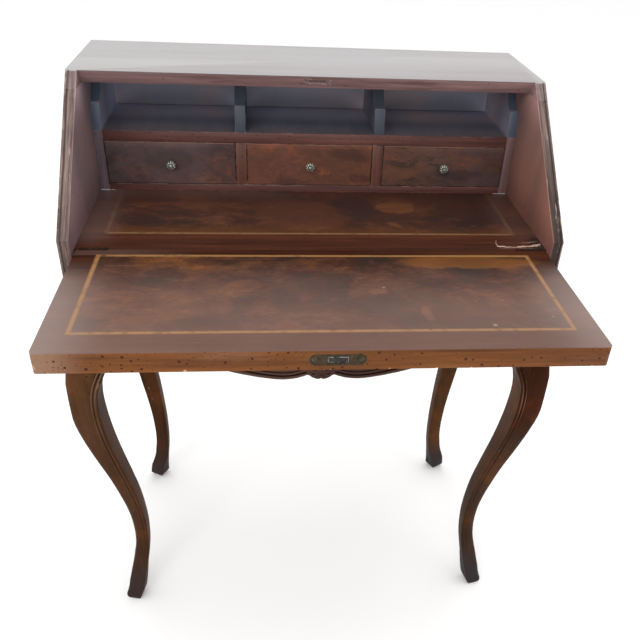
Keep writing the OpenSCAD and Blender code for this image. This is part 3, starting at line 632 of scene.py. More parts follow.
def frame_line(f, x_half, y_low, y_high, half_width):
    """1 on the line of a rectangle in X and Y, as stringing is laid, and the distance inside it."""
    middle, reach = (y_low + y_high) / 2, (y_high - y_low) / 2
    gap = (abs(f.x) - x_half).over(abs(f.y - middle) - reach)
    return abs(gap).step(half_width + 0.0014, half_width - 0.0018), gap


def inlaid(f, rectangle, seed, dark, warm, string_tone, ends=1.0):
    """Burl inside a line of stringing, with a plain border. Returns (colour, tone, line)."""
    shape = bpy.context.scene.desk_shape
    tone, folded = burl_figure(f, seed)
    burl = f.ramp(
        tone - blots(f, dark) * 0.080 + blots(f, warm) * 0.070 - 0.045,
        (0.36, f.look.burl_dark), (0.46, scaled(f.look.burl, 0.62)), (0.54, f.look.burl),
        (0.62, scaled(f.look.burl_warm, 0.62)), (0.70, f.look.burl_warm))
    rosy = f.noise(folded, 2.1, 2, 0.5).step(0.62, 0.66)
    rosy = rosy.over(f.noise(folded, 4.3, 2, 0.5).step(0.69, 0.73))
    burl = f.mix(burl, (0.130, 0.056, 0.034), rosy * 0.22)
    border = plain_wood(f, "X", f.look.border, seed, 1.5)[0]
    line, gap = frame_line(f, *rectangle, shape.line)
    wood = f.mix(border, burl, gap.step(0.0004, -0.0004))
    dull = f.noise(f.place, 60, 4, 0.6).step(0.46, 0.75)
    string = f.mix(string_tone, scaled(string_tone, 0.55), dull)
    at_end = abs(f.x).step(rectangle[0] - 0.004, rectangle[0] - 0.002)
    kept = f.noise(f.place, 45, 3).step(0.24, 0.36) * f.mix_number(1.0, ends, at_end)
    return f.mix(wood, string, line * kept), tone, line


def fall_veneer():
    """Veneer of the fall: a milky bloom with painted sheen toward the front and the ends, painted
    shade toward the seam, its edge worm-eaten.
    """
    f = Finish("fall_veneer")
    dark = (
        (-0.212, -0.158, 0.034, 0.030), (-0.150, -0.112, 0.040, 0.014),
        (-0.052, -0.221, 0.015, 0.032), (-0.096, -0.270, 0.026, 0.010, 8),
        (-0.285, -0.279, 0.022, 0.012), (0.085, -0.226, 0.024, 0.020),
        (0.199, -0.180, 0.048, 0.013, -12), (0.020, -0.190, 0.016, 0.040),
        (0.262, -0.235, 0.022, 0.028))
    warm = (
        (0.272, -0.122, 0.040, 0.020), (0.071, -0.200, 0.012, 0.008),
        (0.127, -0.255, 0.007, 0.022), (0.178, -0.218, 0.024, 0.022, 20),
        (-0.110, -0.190, 0.050, 0.026, 5), (0.031, -0.140, 0.018, 0.012))
    rectangle = (0.306, SEAM_Y - 0.2236, SEAM_Y - 0.0196)
    wood, tone, line = inlaid(f, rectangle, 11.3, dark, warm, f.look.stringing)
    glow = blots(f, ((0.215, -0.114, 0.105, 0.022),))
    wood = f.mix(wood, (0.205, 0.078, 0.016), glow * (1 - line) * 0.50)
    patched = blots(f, ((0.071, -0.200, 0.0135, 0.0085), (0.127, -0.255, 0.007, 0.020)), 0.009)
    wood = f.mix(wood, (0.180, 0.068, 0.046), patched * (1 - line) * 0.30)
    away = SEAM_Y - f.y
    # Painted shade toward the seam, deepest in the middle, and painted sheen at the back-left.
    wood = f.times(wood, (0.92, 0.86, 0.68), away.step(0.09, 0.03))
    behind = away.step(0.020, 0.016)
    wood = f.times(wood, (0.66, 0.60, 0.56), behind * abs(f.x - 0.03).step(0.20, 0.10))
    wood = f.mix(wood, (0.20, 0.125, 0.10), behind * f.x.step(-0.16, -0.30) * 0.22)
    # A milky bloom with painted sheen, more toward the front and the ends.
    bloom_and_sheen = f.mix((0.300, 0.180, 0.145), (0.36, 0.265, 0.235), abs(f.x).step(0.25, 0.35))
    cloudy = f.streaks((4, 7, 4), 4, 0.55, shift=(3, 1, 0))
    share = away.step(0.02, 0.19) * 0.31 + abs(f.x).step(0.24, 0.36) * away.step(0.03, 0.10) * 0.25
    share = share + (cloudy - 0.5) * 0.35 * away.step(0.02, 0.08)
    wood = f.mix(wood, bloom_and_sheen, (share * (1 - line * 0.6)).over(0.0))
    top = f.z.step(WRITE_Z - 0.0020, WRITE_Z - 0.0010)
    plain, height = plain_wood(f, "X", (0.140, 0.044, 0.0085), 4.0, 1.3)[:2]
    faded = f.streaks((6, 30, 30), 4, 0.6).step(0.52, 0.72) * 0.18
    edge = f.y.step(EDGE_Y + 0.016, EDGE_Y + 0.005)
    plain = f.mix(plain, (0.30, 0.185, 0.125), faded + f.x.step(-0.27, -0.335) * 0.55 * edge)
    plain = f.mix(plain, (0.080, 0.034, 0.018), (1 - edge) * 0.5)
    hole = pits(f, 0.0105, 0.0020, "DZ", 0.34).over(pits(f, 0.0052, 0.0007, "DZ", 0.55, 3.0))
    hole = hole * (f.z - FALL_LOW).step(0.0003, 0.0006)
    chips = f.streaks((140, 140, 200), 2, 0.5).step(0.68, 0.72)
    chips = chips * (f.z - FALL_LOW).step(0.0040, 0.0012) * edge
    plain = f.mix(plain, (0.046, 0.006, 0.0), hole)
    low = height * 0.4 - hole * 1.2
    plain = f.mix(plain, f.look.raw_wood, chips)
    wood = f.mix(plain, wood, top)
    scratches = f.streaks((9, 260, 60), 2, 0.5, turn=(0, 0, 0.5)).step(0.68, 0.76)
    dots = pits(f, 0.110, 0.0012, "XY", 0.82, 1.0)
    wood = f.mix(wood, (0.50, 0.36, 0.26), (scratches * 0.10).over(dots * 0.7) * top)
    height = f.mix_number(low, tone * 0.6 - line * 0.15 - scratches * 0.3, top)
    wood = rubbed(f, wood, 0.30 + (1 - top) * 0.15)
    shine = 0.36 + (cloudy - 0.5) * 0.3 + (1 - top) * 0.15
    return f.set(wood, shine, height, 0.00018, specular_ior_level=0.16)


def board_veneer():
    """Veneer of the writing board, dark and glossy under the top, with painted light and sheen at
    its ends, split at the seam's right end.
    """
    f = Finish("board_veneer")
    dark = (
        (0.058, 0.070, 0.038, 0.045), (0.274, 0.060, 0.036, 0.030), (-0.237, 0.060, 0.050, 0.026),
        (-0.120, 0.115, 0.060, 0.020), (0.190, 0.040, 0.020, 0.012), (0.000, 0.120, 0.040, 0.020))
    warm = (
        (-0.022, 0.012, 0.075, 0.022), (0.145, 0.018, 0.035, 0.016), (-0.150, 0.030, 0.030, 0.018))
    rectangle = (0.308, SEAM_Y + 0.056, BACK + 0.05)
    wood, tone, line = inlaid(f, rectangle, 1.7, dark, warm, scaled(f.look.stringing, 0.58), 0.45)
    wood = f.mix(wood, (0.086, 0.030, 0.016), f.y.step(SEAM_Y + 0.06, SEAM_Y + 0.16) * 0.36)
    burl = 1 - line
    ruddy = blots(f, ((-0.015, 0.050, 0.080, 0.060),))
    wood = f.mix(wood, (0.112, 0.034, 0.016), ruddy * burl * 0.32)
    shade = blots(f, ((0.070, 0.085, 0.036, 0.050, 12),), 0.020)
    wood = f.mix(wood, (0.026, 0.016, 0.016), shade * burl * 0.6)
    inward = f.y - rectangle[1]
    warmed = inward.step(-0.002, 0.002) * inward.step(0.040, 0.004)
    wood = f.mix(wood, (0.112, 0.036, 0.008), warmed * burl * (0.48 - f.x.step(0.0, 0.2) * 0.10))
    # Painted light and sheen at the board's ends and just before the left of the unit, fading out
    # at the seam.
    painted_end_light = abs(f.x).step(0.27, 0.33) * 0.20 + f.x.step(-0.29, -0.33) * 0.14
    painted_end_light = painted_end_light + (UNIT_Y - f.y).step(0.045, 0.0) * f.x.step(0.02, -0.10) * 0.22
    wood = f.mix(wood, (0.190, 0.125, 0.115), painted_end_light * (f.y - SEAM_Y).step(0.0, 0.06))
    knot = blots(f, ((0.139, 0.088, 0.034, 0.026),))
    grain = plain_wood(f, "X", (0.155, 0.058, 0.024), 9.0)[0]
    wood = f.mix(wood, grain, knot.step(0.35, 0.6) * 0.85)
    past = f.y - SEAM_Y
    scar = f.x.step(0.270, 0.276) * past.step(0.019, 0.015) * past.step(0.003, 0.006)
    torn = f.streaks((28, 230, 10), 4, 0.65)
    bared = f.mix((0.070, 0.026, 0.018), (0.17, 0.085, 0.060), torn.step(0.45, 0.62))
    wood = f.mix(wood, bared, scar * 0.9)
    soot = blots(f, ((0.336, -0.052, 0.015, 0.026),))
    wood = f.mix(wood, (0.020, 0.014, 0.016), soot * 0.8)
    wood = rubbed(f, wood, 0.30)
    shine = 0.40 + (tone - 0.5) * 0.3 + scar * 0.3
    height = tone * 0.4 - line * 0.15 + torn * scar
    return f.set(wood, shine, height, 0.00012, specular_ior_level=0.17)


def torn_wood():
    """Pale bare wood of the splinters."""
    f = Finish("torn_wood")
    figure, _ = grain_figure(f, "X", 2.2, 6.0)
    wood = f.ramp(
        figure, (0.34, (0.20, 0.105, 0.075)), (0.5, (0.44, 0.28, 0.21)), (0.66, (0.62, 0.47, 0.37)))
    return f.set(wood, 0.7, figure, 0.0003, specular_ior_level=0.3)


def drawer_veneer():
    """Dull burl of the drawer fronts: purple-brown left, red in the middle, flamed at the right,
    with painted light along their tops and painted shade in the gaps.
    """
    f = Finish("drawer_veneer")
    tone = burl_figure(f, 4.2)[0]
    base = f.ramp(
        tone - 0.02, (0.36, (0.040, 0.027, 0.027)), (0.46, (0.074, 0.036, 0.031)),
        (0.54, (0.112, 0.046, 0.031)), (0.62, (0.165, 0.064, 0.028)))
    purple = f.streaks((9, 9, 12), 4, 0.55, 0.6, shift=(2, 0, 0)).step(0.42, 0.62)
    ends = abs(f.x - 0.004).step(0.13, 0.20)
    base = f.mix(base, (0.072, 0.050, 0.050), purple * ends * 0.75)
    warm = blots_upright(f, (
        (0.015, 0.793, 0.035, 0.022), (0.075, 0.790, 0.020, 0.024),
        (-0.165, 0.775, 0.030, 0.012)))
    base = f.mix(base, (0.150, 0.062, 0.028), warm * tone.step(0.42, 0.6) * 0.55)
    middle = abs(f.x).step(POST_X, POST_X - 0.004)
    right = f.x.step(POST_X, POST_X + 0.006)
    base = f.times(base, (1.18, 1.14, 1.12), 1.0)
    base = f.mix(base, (0.110, 0.040, 0.024), middle * 0.30)
    base = f.times(base, (1.42, 1.16, 0.90), middle)
    flame = f.streaks((30, 30, 95), 4, 0.55, 0.8, turn=(0, -0.5, 0))
    here = f.x.step(POST_X + 0.003, 0.14) * f.x.step(0.25, 0.20)
    base = f.mix(base, (0.028, 0.018, 0.016), flame.step(0.50, 0.62) * here * 0.8)
    base = f.mix(base, (0.120, 0.050, 0.030), flame.step(0.44, 0.34) * here * 0.4)
    base = f.mix(base, (0.050, 0.028, 0.024), right * 0.3)
    base = f.times(base, (1.12, 0.98, 0.78), right * f.x.step(0.25, 0.19))
    # Painted light along the top of each drawer front, against the shade under the rail.
    base = f.times(base, (1.35, 1.28, 1.25), f.z.step(DRAWER_TOP - 0.010, DRAWER_TOP - 0.003))
    base = f.times(base, (1.20, 1.26, 1.32), f.x.step(-0.275, -0.305))
    dark = blots_upright(f, (
        (-0.030, 0.771, 0.030, 0.008), (-0.225, 0.805, 0.040, 0.016),
        (0.062, 0.815, 0.034, 0.010), (0.086, 0.780, 0.018, 0.010),
        (0.255, 0.786, 0.045, 0.008)))
    base = f.mix(base, (0.020, 0.014, 0.014), dark * 0.38)
    # Painted shade in the gaps along each drawer's sides and foot.
    base = f.mix(base, (0.022, 0.012, 0.011), drawer_gap_shade(f))
    rim = f.z.step(DRAWER_TOP - 0.0012, DRAWER_TOP - 0.0006) * flame.step(0.34, 0.5)
    base = f.mix(base, (0.24, 0.145, 0.11), rim * 0.7)
    base = rubbed(f, base, 0.6, (0.30, 0.17, 0.12))
    base, height = holed(f, base, tone * 0.6, pits(f, 0.012, 0.0008, "XZ", 0.6) * 0.8)
    return f.set(base, 0.42 + (tone - 0.5) * 0.4, height, 0.0002, specular_ior_level=0.3)


def drawer_gap_shade(f):
    """Painted shade along the sides and the foot of each drawer front: 0 to 1."""
    side = from_bay(f).step(DRAWER_HALF - 0.0022, DRAWER_HALF - 0.0008)
    return side.over(f.z.step(DRAWER_LOW + 0.0018, DRAWER_LOW + 0.0006)) * 0.8


def blots_upright(f, spots):
    """Soft ragged ovals on an upright front, each (x, z, half length, half height): 0 to 1."""
    ragged = f.moved(f.place, f.streaks((30, 30, 40), 4, 0.6, out="Color"), 0.032)
    parts = f.tree.nodes.new("ShaderNodeSeparateXYZ")
    f.tree.links.new(ragged.socket, parts.inputs[0])
    across, up = Wire(f, parts.outputs[0]), Wire(f, parts.outputs[2])
    total = None
    for x, z, a, b in spots:
        spot = (((across - x) / a) ** 2 + ((up - z) / b) ** 2).step(1.5, 0.4)
        total = spot if total is None else total.over(spot)
    return total


def leg_finish(name, shade=1.0, along="Z"):
    """Waxed walnut of the legs, nearly black and greyer at the feet, rubbed on its edges, with
    painted light and shade on each leg's faces and beads.
    """
    f = Finish(name)
    wood, height, patches = plain_wood(f, along, scaled(f.look.leg, shade), 2.6, 0.9)
    red = f.noise(f.place, 11.0, 4, 0.55)
    wood = f.mix(wood, scaled((0.100, 0.032, 0.009), shade), red.step(0.48, 0.70) * 0.6)
    wood = f.mix(wood, scaled((0.024, 0.012, 0.007), shade), red.step(0.48, 0.32) * 0.45)
    knee = (FRONT - f.y).step(0.0, 0.004) * f.z.step(0.38, 0.46)
    inner, rear = f.mark("inner"), f.y.step(0.15, 0.20)
    left, right = f.x.step(-0.1, -0.2), f.x.step(0.1, 0.2)
    # Painted light and shade, face by face: the right knee darker and warmer, the left knee and the
    # right leg's inner face lighter and bluer with painted sheen, the front legs bluer low down,
    # the back left leg darker and the back right lighter.
    wood = f.times(wood, (0.84, 0.57, 0.42), knee * right * (1 - inner))
    wood = f.times(wood, (1.22, 1.38, 1.70), knee * left)
    wood = f.times(wood, (1.34, 1.46, 1.56), inner * f.z.step(0.34, 0.44) * right)
    low = f.z.step(0.36, 0.22) * (1 - rear)
    wood = f.times(wood, f.mix((1.18, 1.22, 1.42), (0.88, 1.08, 1.45), right), low)
    wood = f.times(wood, f.mix((0.87, 0.85, 0.86), (1.15, 1.28, 1.40), right), rear)
    foot = (f.z + (patches - 0.5) * 0.06).step(0.125, 0.030)
    sole = f.mix((0.027, 0.0195, 0.0200), (0.027, 0.0245, 0.0265), f.on_right())
    wood = f.mix(wood, sole, foot * 0.85)
    wood = rubbed(f, wood, 0.30, (0.22, 0.135, 0.09))
    chips = f.noise(f.place, 190, 2).step(0.69, 0.74) * f.noise(f.place, 9, 2).step(0.50, 0.64)
    wood = f.mix(wood, f.look.raw_wood, chips * 0.55)
    wood, height = holed(f, wood, height, pits(f, 0.017, 0.0011, "DZ", 0.55) * 0.9)
    hollow, crest = f.mark("hollow"), f.mark("crest")
    # Painted shade on the sides of the beads and of the carved leaf's lobes.
    wood = f.mix(wood, scaled(f.look.leg, 0.16), hollow * (0.50 + f.z.step(0.30, 0.50) * 0.35))
    # A painted highlight along the crests of the beads, strongest at the knees.
    crest_highlight = crest * red.step(0.36, 0.56) * (0.06 + f.z.step(0.40, 0.56) * 0.62)
    wood = f.mix(wood, scaled((0.180, 0.110, 0.072), shade), crest_highlight)
    # Painted shade dulls the right legs' beads below the knee.
    bead = hollow.over(crest)
    wood = f.mix(wood, scaled(f.look.leg, 0.45), bead * right * f.z.step(0.50, 0.42) * 0.75)
    # The front apron's beads and leaf in its own darker wax, with painted shade in their hollows.
    apron = abs(f.x).step(APRON_HALF + 0.004, APRON_HALF - 0.05)
    apron = apron * f.z.step(HEAD_LOW - 0.05, HEAD_LOW - 0.02)
    waxed = f.mix((0.062, 0.032, 0.027), (0.082, 0.042, 0.032), f.x.step(0.02, -0.02))
    wood = f.mix(wood, f.mix(waxed, (0.012, 0.007, 0.007), hollow), apron * 0.85)
    shine = 0.46 + patches * 0.12 - chips * 0.1
    return f.set(wood, shine, height, 0.00025, specular_ior_level=0.045)


def carcass_pine():
    """Dull unfinished softwood, darkened with age."""
    f = Finish("carcass_pine")
    wood, height, patches = plain_wood(f, "X", f.look.pine, 5.0)
    aged = f.noise(f.place, 4.0, 5, 0.6).step(0.5, 0.8)
    wood = f.mix(wood, scaled(f.look.pine, 0.35), aged * 0.6)
    return f.set(wood, 0.66 + patches * 0.1, height, 0.0003, specular_ior_level=0.3)


def metal(name, base, dark, light, rough, seed=0.0, grain=1.0, metallic=0.8, gloss=0.3, glint=0.0):
    """A tarnished metal: dark in the hollows, rubbed brighter on the edges, with painted glints in
    spots.
    """
    f = Finish(name)
    at = f.stretched((grain, grain, grain), shift=(seed, seed, seed))
    stain = f.noise(at, 150, 5, 0.6)
    spots = f.noise(at, 520, 3, 0.6)
    tone = f.ramp(
        stain * 0.75 + spots * 0.25, (0.34, dark), (0.52, base), (0.72, scaled(base, 1.7)))
    tone = f.mix(tone, light, f.mark("arris") * stain.step(0.38, 0.55) * 0.9)
    # Painted glints in spots.
    tone = f.mix(tone, light, spots.step(0.56, 0.64) * glint)
    tone = f.mix(tone, scaled(dark, 0.3), f.mark("hollow") * 0.9)
    return f.set(
        tone, rough + stain * 0.25 - 0.1, stain * 0.6 + spots * 0.4, 0.00010, metallic=metallic,
        specular_ior_level=gloss)


# ---- Hand work on meshes


def alone(piece=None):
    """Leaves only this piece selected, in object mode."""
    if bpy.context.mode != "OBJECT":
        bpy.ops.object.mode_set(mode="OBJECT")
    bpy.ops.object.select_all(action="DESELECT")
    if piece is not None:
        bpy.context.view_layer.objects.active = piece
        piece.select_set(True)
    return piece


def in_hand(piece, kind="FACE"):
    """Opens a piece for editing with nothing picked."""
    alone(piece)
    bpy.ops.object.mode_set(mode="EDIT")
    bpy.ops.mesh.select_mode(type=kind)
    bpy.ops.mesh.select_all(action="DESELECT")
    return bmesh.from_edit_mesh(piece.data)


def pick_all():
    bpy.ops.mesh.select_all(action="SELECT")


def drawn_out(by):
    """Extrudes what is picked."""
    bpy.ops.mesh.extrude_region_move(TRANSFORM_OT_translate={"value": by})


def begun(add, **settings):
    """A new primitive, open for editing with everything picked."""
    alone()
    add(**settings)
    bpy.ops.object.mode_set(mode="EDIT")
    pick_all()
    return bpy.context.active_object


def closed(piece):
    """Turns a piece's faces outward and ends its editing."""
    pick_all()
    bpy.ops.mesh.normals_make_consistent(inside=False)
    return alone(piece)


def scored(piece, *places):
    """Cuts all faces along upright planes at places in X, to mark off a strip."""
    for x in places:
        in_hand(piece)
        pick_all()
        bpy.ops.mesh.bisect(plane_co=(x, 0, 0), plane_no=(1, 0, 0))


def placed(piece, at):
    """Puts a piece in its place, as it is turned, and applies that to its mesh."""
    piece.location = at
    bpy.ops.object.transform_apply(location=True, rotation=True, scale=True)
    return piece


def pick(piece, test, kind="FACE"):
    """Picks the faces, edges or points that pass a test, in edit mode. Returns how many."""
    bm = in_hand(piece, kind)
    parts = {"FACE": bm.faces, "EDGE": bm.edges, "VERT": bm.verts}[kind]
    found = [p for p in parts if test(p)]
    for p in found:
        p.select_set(True)
    bm.select_flush_mode()
    bmesh.update_edit_mesh(piece.data)
    return len(found)


def finished(piece, name, body, finish, replaced=(), angle=35):
    """Closes a piece: shading, name, finish, the body it rides on and the nodes it stands for."""
    alone(piece)
    bpy.ops.object.transform_apply(location=True, rotation=True, scale=True)
    bpy.ops.object.shade_smooth_by_angle(angle=math.radians(angle))
    piece.name = piece.data.name = name
    piece.data.materials.clear()
    piece.data.materials.append(finish)
    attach(piece, body)
    if replaced:
        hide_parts(*replaced)
    return piece


def copied(node):
    """A merged copy of a CAD node's mesh, free of its body."""
    alone(frame["nodes"][node])
    bpy.ops.object.duplicate()
    piece = bpy.context.active_object
    bpy.ops.object.parent_clear(type="CLEAR_KEEP_TRANSFORM")
    for key in list(piece.keys()):
        del piece[key]
    in_hand(piece)
    pick_all()
    bpy.ops.mesh.remove_doubles(threshold=0.000005)
    bpy.ops.mesh.dissolve_limited(angle_limit=math.radians(0.6))
    bpy.ops.mesh.customdata_custom_splitnormals_clear()
    bpy.ops.object.mode_set(mode="OBJECT")
    return piece


def marked(piece, name, test):
    """Writes a named mark on the faces that pass a test, for the finishes to read."""
    marks = piece.data.attributes.get(name) or piece.data.attributes.new(name, "FLOAT", "CORNER")
    for face in piece.data.polygons:
        if test(face):
            for corner in face.loop_indices:
                marks.data[corner].value = 1.0
    return piece


def arrised(piece, width, test=None, least=0.012, segments=2, angle=28):
    """Rounds the sharp edges that are long enough and pass a test, and marks them as worn."""
    sharp = math.radians(angle)
    picked = pick(piece, lambda e: (
        len(e.link_faces) == 2 and e.calc_length() >= least and e.calc_face_angle(0) > sharp
        and (test is None or test(e))), "EDGE")
    if picked:
        while len(piece.data.materials) < 2:
            bpy.ops.object.mode_set(mode="OBJECT")
            piece.data.materials.append(None)
            bpy.ops.object.mode_set(mode="EDIT")
        bpy.ops.mesh.bevel(
            offset=width, segments=segments, affect="EDGES", clamp_overlap=True, material=1,
            loop_slide=True)
    alone(piece)
    marked(piece, "arris", lambda face: face.material_index == 1)
    for face in piece.data.polygons:
        face.material_index = 0
    return piece


def softened(node, name, body, finish, width, least=0.012, test=None, fronts=False):
    """A CAD board with its arrises worn round."""
    piece = copied(node)
    if fronts:
        marked(piece, "front", lambda face: face.normal.y < -0.35)
    return finished(arrised(piece, width, test, least), name, body, finish, [node])


def lofted(rings):
    """Draws a rectangle up through rings of (x0, x1, y0, y1, z), by extruding and scaling."""
    x0, x1, y0, y1, z = rings[0]
    piece = begun(bpy.ops.mesh.primitive_plane_add, size=1)
    bpy.ops.transform.resize(value=(x1 - x0, y1 - y0, 1), center_override=(0, 0, 0))
    bpy.ops.transform.translate(value=((x0 + x1) / 2, (y0 + y1) / 2, z))
    for ax0, ax1, ay0, ay1, az in rings[1:]:
        step = ((ax0 + ax1 - x0 - x1) / 2, (ay0 + ay1 - y0 - y1) / 2, az - z)
        drawn_out(step)
        bpy.ops.transform.resize(
            value=((ax1 - ax0) / (x1 - x0), (ay1 - ay0) / (y1 - y0), 1),
            center_override=((ax0 + ax1) / 2, (ay0 + ay1) / 2, az))
        x0, x1, y0, y1, z = ax0, ax1, ay0, ay1, az
    return closed(piece)


def turned(rings, sides, at, axis):
    """Turns a round piece through rings of (radius, distance along the axis)."""
    radius, out = rings[0]
    piece = begun(
        bpy.ops.mesh.primitive_circle_add, vertices=sides, radius=radius, fill_type="NGON")
    bpy.ops.transform.translate(value=(0, 0, out))
    for r, o in rings[1:]:
        drawn_out((0, 0, o - out))
        bpy.ops.transform.resize(value=(r / radius, r / radius, 1), center_override=(0, 0, o))
        radius, out = r, o
    closed(piece)
    piece.rotation_mode = "QUATERNION"
    piece.rotation_quaternion = Vector((0, 0, 1)).rotation_difference(Vector(axis))
    return placed(piece, at)


def turned_knob(node, face, profile, sides):
    """Turns a knob to its node's size, through (share of its radius, share of how far it
    stands out from a face in Y). Returns the piece, its middle on the face, radius and reach."""
    low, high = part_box(node)
    at = Vector(((low.x + high.x) / 2, face, (low.z + high.z) / 2))
    reach, radius = face - low.y, (high.x - low.x) / 2
    rings = [(radius * profile[0][0], face - high.y)]
    rings += [(radius * k, reach * s) for k, s in profile]
    return turned(rings, sides, at, (0, -1, 0)), at, radius, reach


def beaded(points, radius, out=None, thin=lambda z: 1.0):
    """A round bead along points, thinned at its ends. Given an outward way, its sides are marked as
    hollows for painted shade and its top as a crest for a painted highlight.
    """
    alone()
    curve = bpy.data.curves.new("bead", "CURVE")
    curve.dimensions = "3D"
    curve.bevel_depth, curve.bevel_resolution = radius, 2
    curve.use_fill_caps = True
    spline = curve.splines.new("POLY")
    last = len(points) - 1
    spline.points.add(last)
    for i, (point, at) in enumerate(zip(spline.points, points)):
        point.co = (*at, 1.0)
        point.radius = min(1.0, 0.2 + 0.2 * min(i, last - i)) * thin(at[2])
    piece = bpy.data.objects.new("bead", curve)
    bpy.context.scene.collection.objects.link(piece)
    alone(piece)
    bpy.ops.object.convert(target="MESH")
    piece = bpy.context.active_object
    in_hand(piece)
    pick_all()
    bpy.ops.mesh.remove_doubles(threshold=0.00001)
    closed(piece)
    if out is not None:
        marked(piece, "hollow", lambda face: face.normal.dot(Vector(out)) < 0.5)
        marked(piece, "crest", lambda face: face.normal.dot(Vector(out)) > 0.86)
    return piece


def joined(pieces):
    """Several meshes as one piece."""
    alone(pieces[0])
    for piece in pieces:
        piece.select_set(True)
    bpy.ops.object.join()
    return bpy.context.active_object


# ---- Legs, aprons and their beads


def stand_back(t, back):
    """How far a leg stands in from the line of the case, at a share of its height."""
    return back * max(0.0, 1 - t / 0.65) ** 2


def leg_out(t, back):
    """How far a face of a leg stands out from the case, the knee kept low for its bead."""
    out = KNEE_OUT * smooth_at(LEG_OUTER, t) - stand_back(t, back)
    low = KNEE_OUT - BEAD_PROUD
    return min(out, low + (out - low) * 0.25)


def leg_in(t, back):
    """How far in from the case's face the inner edge of a leg lies."""
    if t * CASE_LOW >= HEAD_LOW:
        return HEAD_W
    last = LEG_INNER[-1]
    if t <= last[0]:
        return HEAD_W * smooth_at(LEG_INNER, t) + stand_back(t, back)
    rise = (t - last[0]) / (HEAD_LOW / CASE_LOW - last[0])
    return HEAD_W * (last[1] + (1 - last[1]) * rise)


def leg_piece(side, rear):
    """One leg: lofted to the sawn outline, rounded on its outer corner and its sole."""
    shape = bpy.context.scene.desk_shape
    x_back = BACK_FOOT_IN if rear else 0.0
    face, way = (BACK, 1) if rear else (FRONT, -1)
    sole = shape.sole_round
    heights = [sole * k / CASE_LOW for k in (0.0, 0.08, 0.22, 0.42, 0.68, 1.0)]
    heights += [i * 0.022 for i in range(1, 41)] + [0.915, HEAD_LOW / CASE_LOW, 0.95, 0.98, 1.0]
    rings = []
    for t in heights:
        above = max(0.0, 1 - t * CASE_LOW / sole)
        inset = sole * (1 - math.sqrt(1 - above ** 2))
        spans = []
        for line, away, back in ((side * HALF, side, x_back), (face, way, FOOT_BACK)):
            out, inward = leg_out(t, back) - inset, leg_in(t, back) - inset
            spans += sorted((line + away * out, line - away * inward))
        rings.append((*spans, t * CASE_LOW))
    piece = lofted(rings)
    rows = {round(r[4], 5): r for r in rings}

    def outer_corner(edge):
        a, b = (v.co for v in edge.verts)
        if abs(a.z - b.z) < 0.0001:
            return False
        low = a if a.z < b.z else b
        x0, x1, y0, y1, _ = rows[round(low.z, 5)]
        return (low.x - (x0 + x1) / 2) * side > 0 and (low.y - (y0 + y1) / 2) * way > 0

    pick(piece, outer_corner, "EDGE")
    bpy.ops.mesh.bevel(offset=shape.knee_round, segments=5, affect="EDGES", clamp_overlap=True)
    alone(piece)
    arrised(piece, shape.leg_round, lambda e: min(v.co.z for v in e.verts) > 0.004, 0.003, 3, 50)
    marked(piece, "arris", lambda face: face.center.z < sole * 0.7 and face.normal.z > -0.9)
    if not rear:
        marked(piece, "inner", lambda face: face.normal.x * side < -0.6)
    turn, keep = BACK_TOE if rear else FRONT_TOE
    toed_out(piece, rings[0], -side * turn, keep)
    post_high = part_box("loper_guide_left")[0].z - 0.0013
    xs = sorted((side * (HALF - HEAD_W), side * INNER))
    ys = (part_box("frieze_panel")[1].y, FRONT + HEAD_W)
    if rear:
        ys = (BACK - HEAD_W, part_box("back_board")[0].y)
    post = lofted([(*xs, *ys, CASE_LOW - 0.02), (*xs, *ys, post_high)])
    return joined([piece, post])


def toed_out(piece, ring, turn, shrink):
    """Turns and narrows a foot about its own middle, fading out by the ankle."""
    fading = {
        "center_override": ((ring[0] + ring[1]) / 2, (ring[2] + ring[3]) / 2, 0),
        "use_proportional_edit": True, "proportional_edit_falloff": "SMOOTH",
        "proportional_size": FOOT_HIGH}
    pick(piece, lambda v: v.co.z < 0.0005, "VERT")
    bpy.ops.transform.rotate(value=math.radians(turn), orient_axis="Z", **fading)
    bpy.ops.transform.resize(value=(shrink, shrink, 1), **fading)
    alone(piece)


def offset_path(path, by):
    """A path of (across, up) points moved sideways, to the right of its own direction."""
    moved = []
    for i, (a, z) in enumerate(path):
        p, q = path[max(i - 1, 0)], path[min(i + 1, len(path) - 1)]
        da, dz = q[0] - p[0], q[1] - p[1]
        run = math.hypot(da, dz)
        moved.append((a + by * dz / run, z - by * da / run))
    return moved


def eased(path):
    """A path with its corners cut off twice."""
    for _ in range(2):
        cut = [path[0]]
        for (a, z), (b, y) in zip(path, path[1:]):
            cut += [(a + (b - a) * s, z + (y - z) * s) for s in (0.25, 0.75)]
        path = cut + [path[-1]]
    return path


def leg_edge(back, first):
    """Inner edge of a leg, from near the foot up, as (distance in from the case, height)."""
    steps = 26
    last = LEG_INNER[-1][0]
    shares = [first + (last - first) * i / steps for i in range(steps + 1)]
    return [(leg_in(t, back), CASE_LOW * t) for t in shares] + [(HEAD_W, HEAD_LOW)]


def low_thin(z):
    """How thick a bead is kept at a height: about half toward the foot."""
    return 0.48 + 0.52 * min(1.0, max(0.0, (z - FOOT_HIGH) / 0.38))


def double_bead(path, way, place, out):
    """The larger bead beside a path, and the smaller one beyond it, as one mesh."""
    shape = bpy.context.scene.desk_shape
    beads = []
    offsets = (shape.bead * 1.15, shape.bead * 2.25 + shape.fillet * 1.35)
    for by, radius in zip(offsets, (shape.bead, shape.fillet)):
        line = offset_path(path, by * way)
        beads.append(beaded([place(a, z, radius) for a, z in line], radius, out=out, thin=low_thin))
    return joined(beads)


class DeskOperator(bpy.types.Operator):
    """Shared settings of the desk's operators"""
    bl_options = {"REGISTER", "UNDO"}


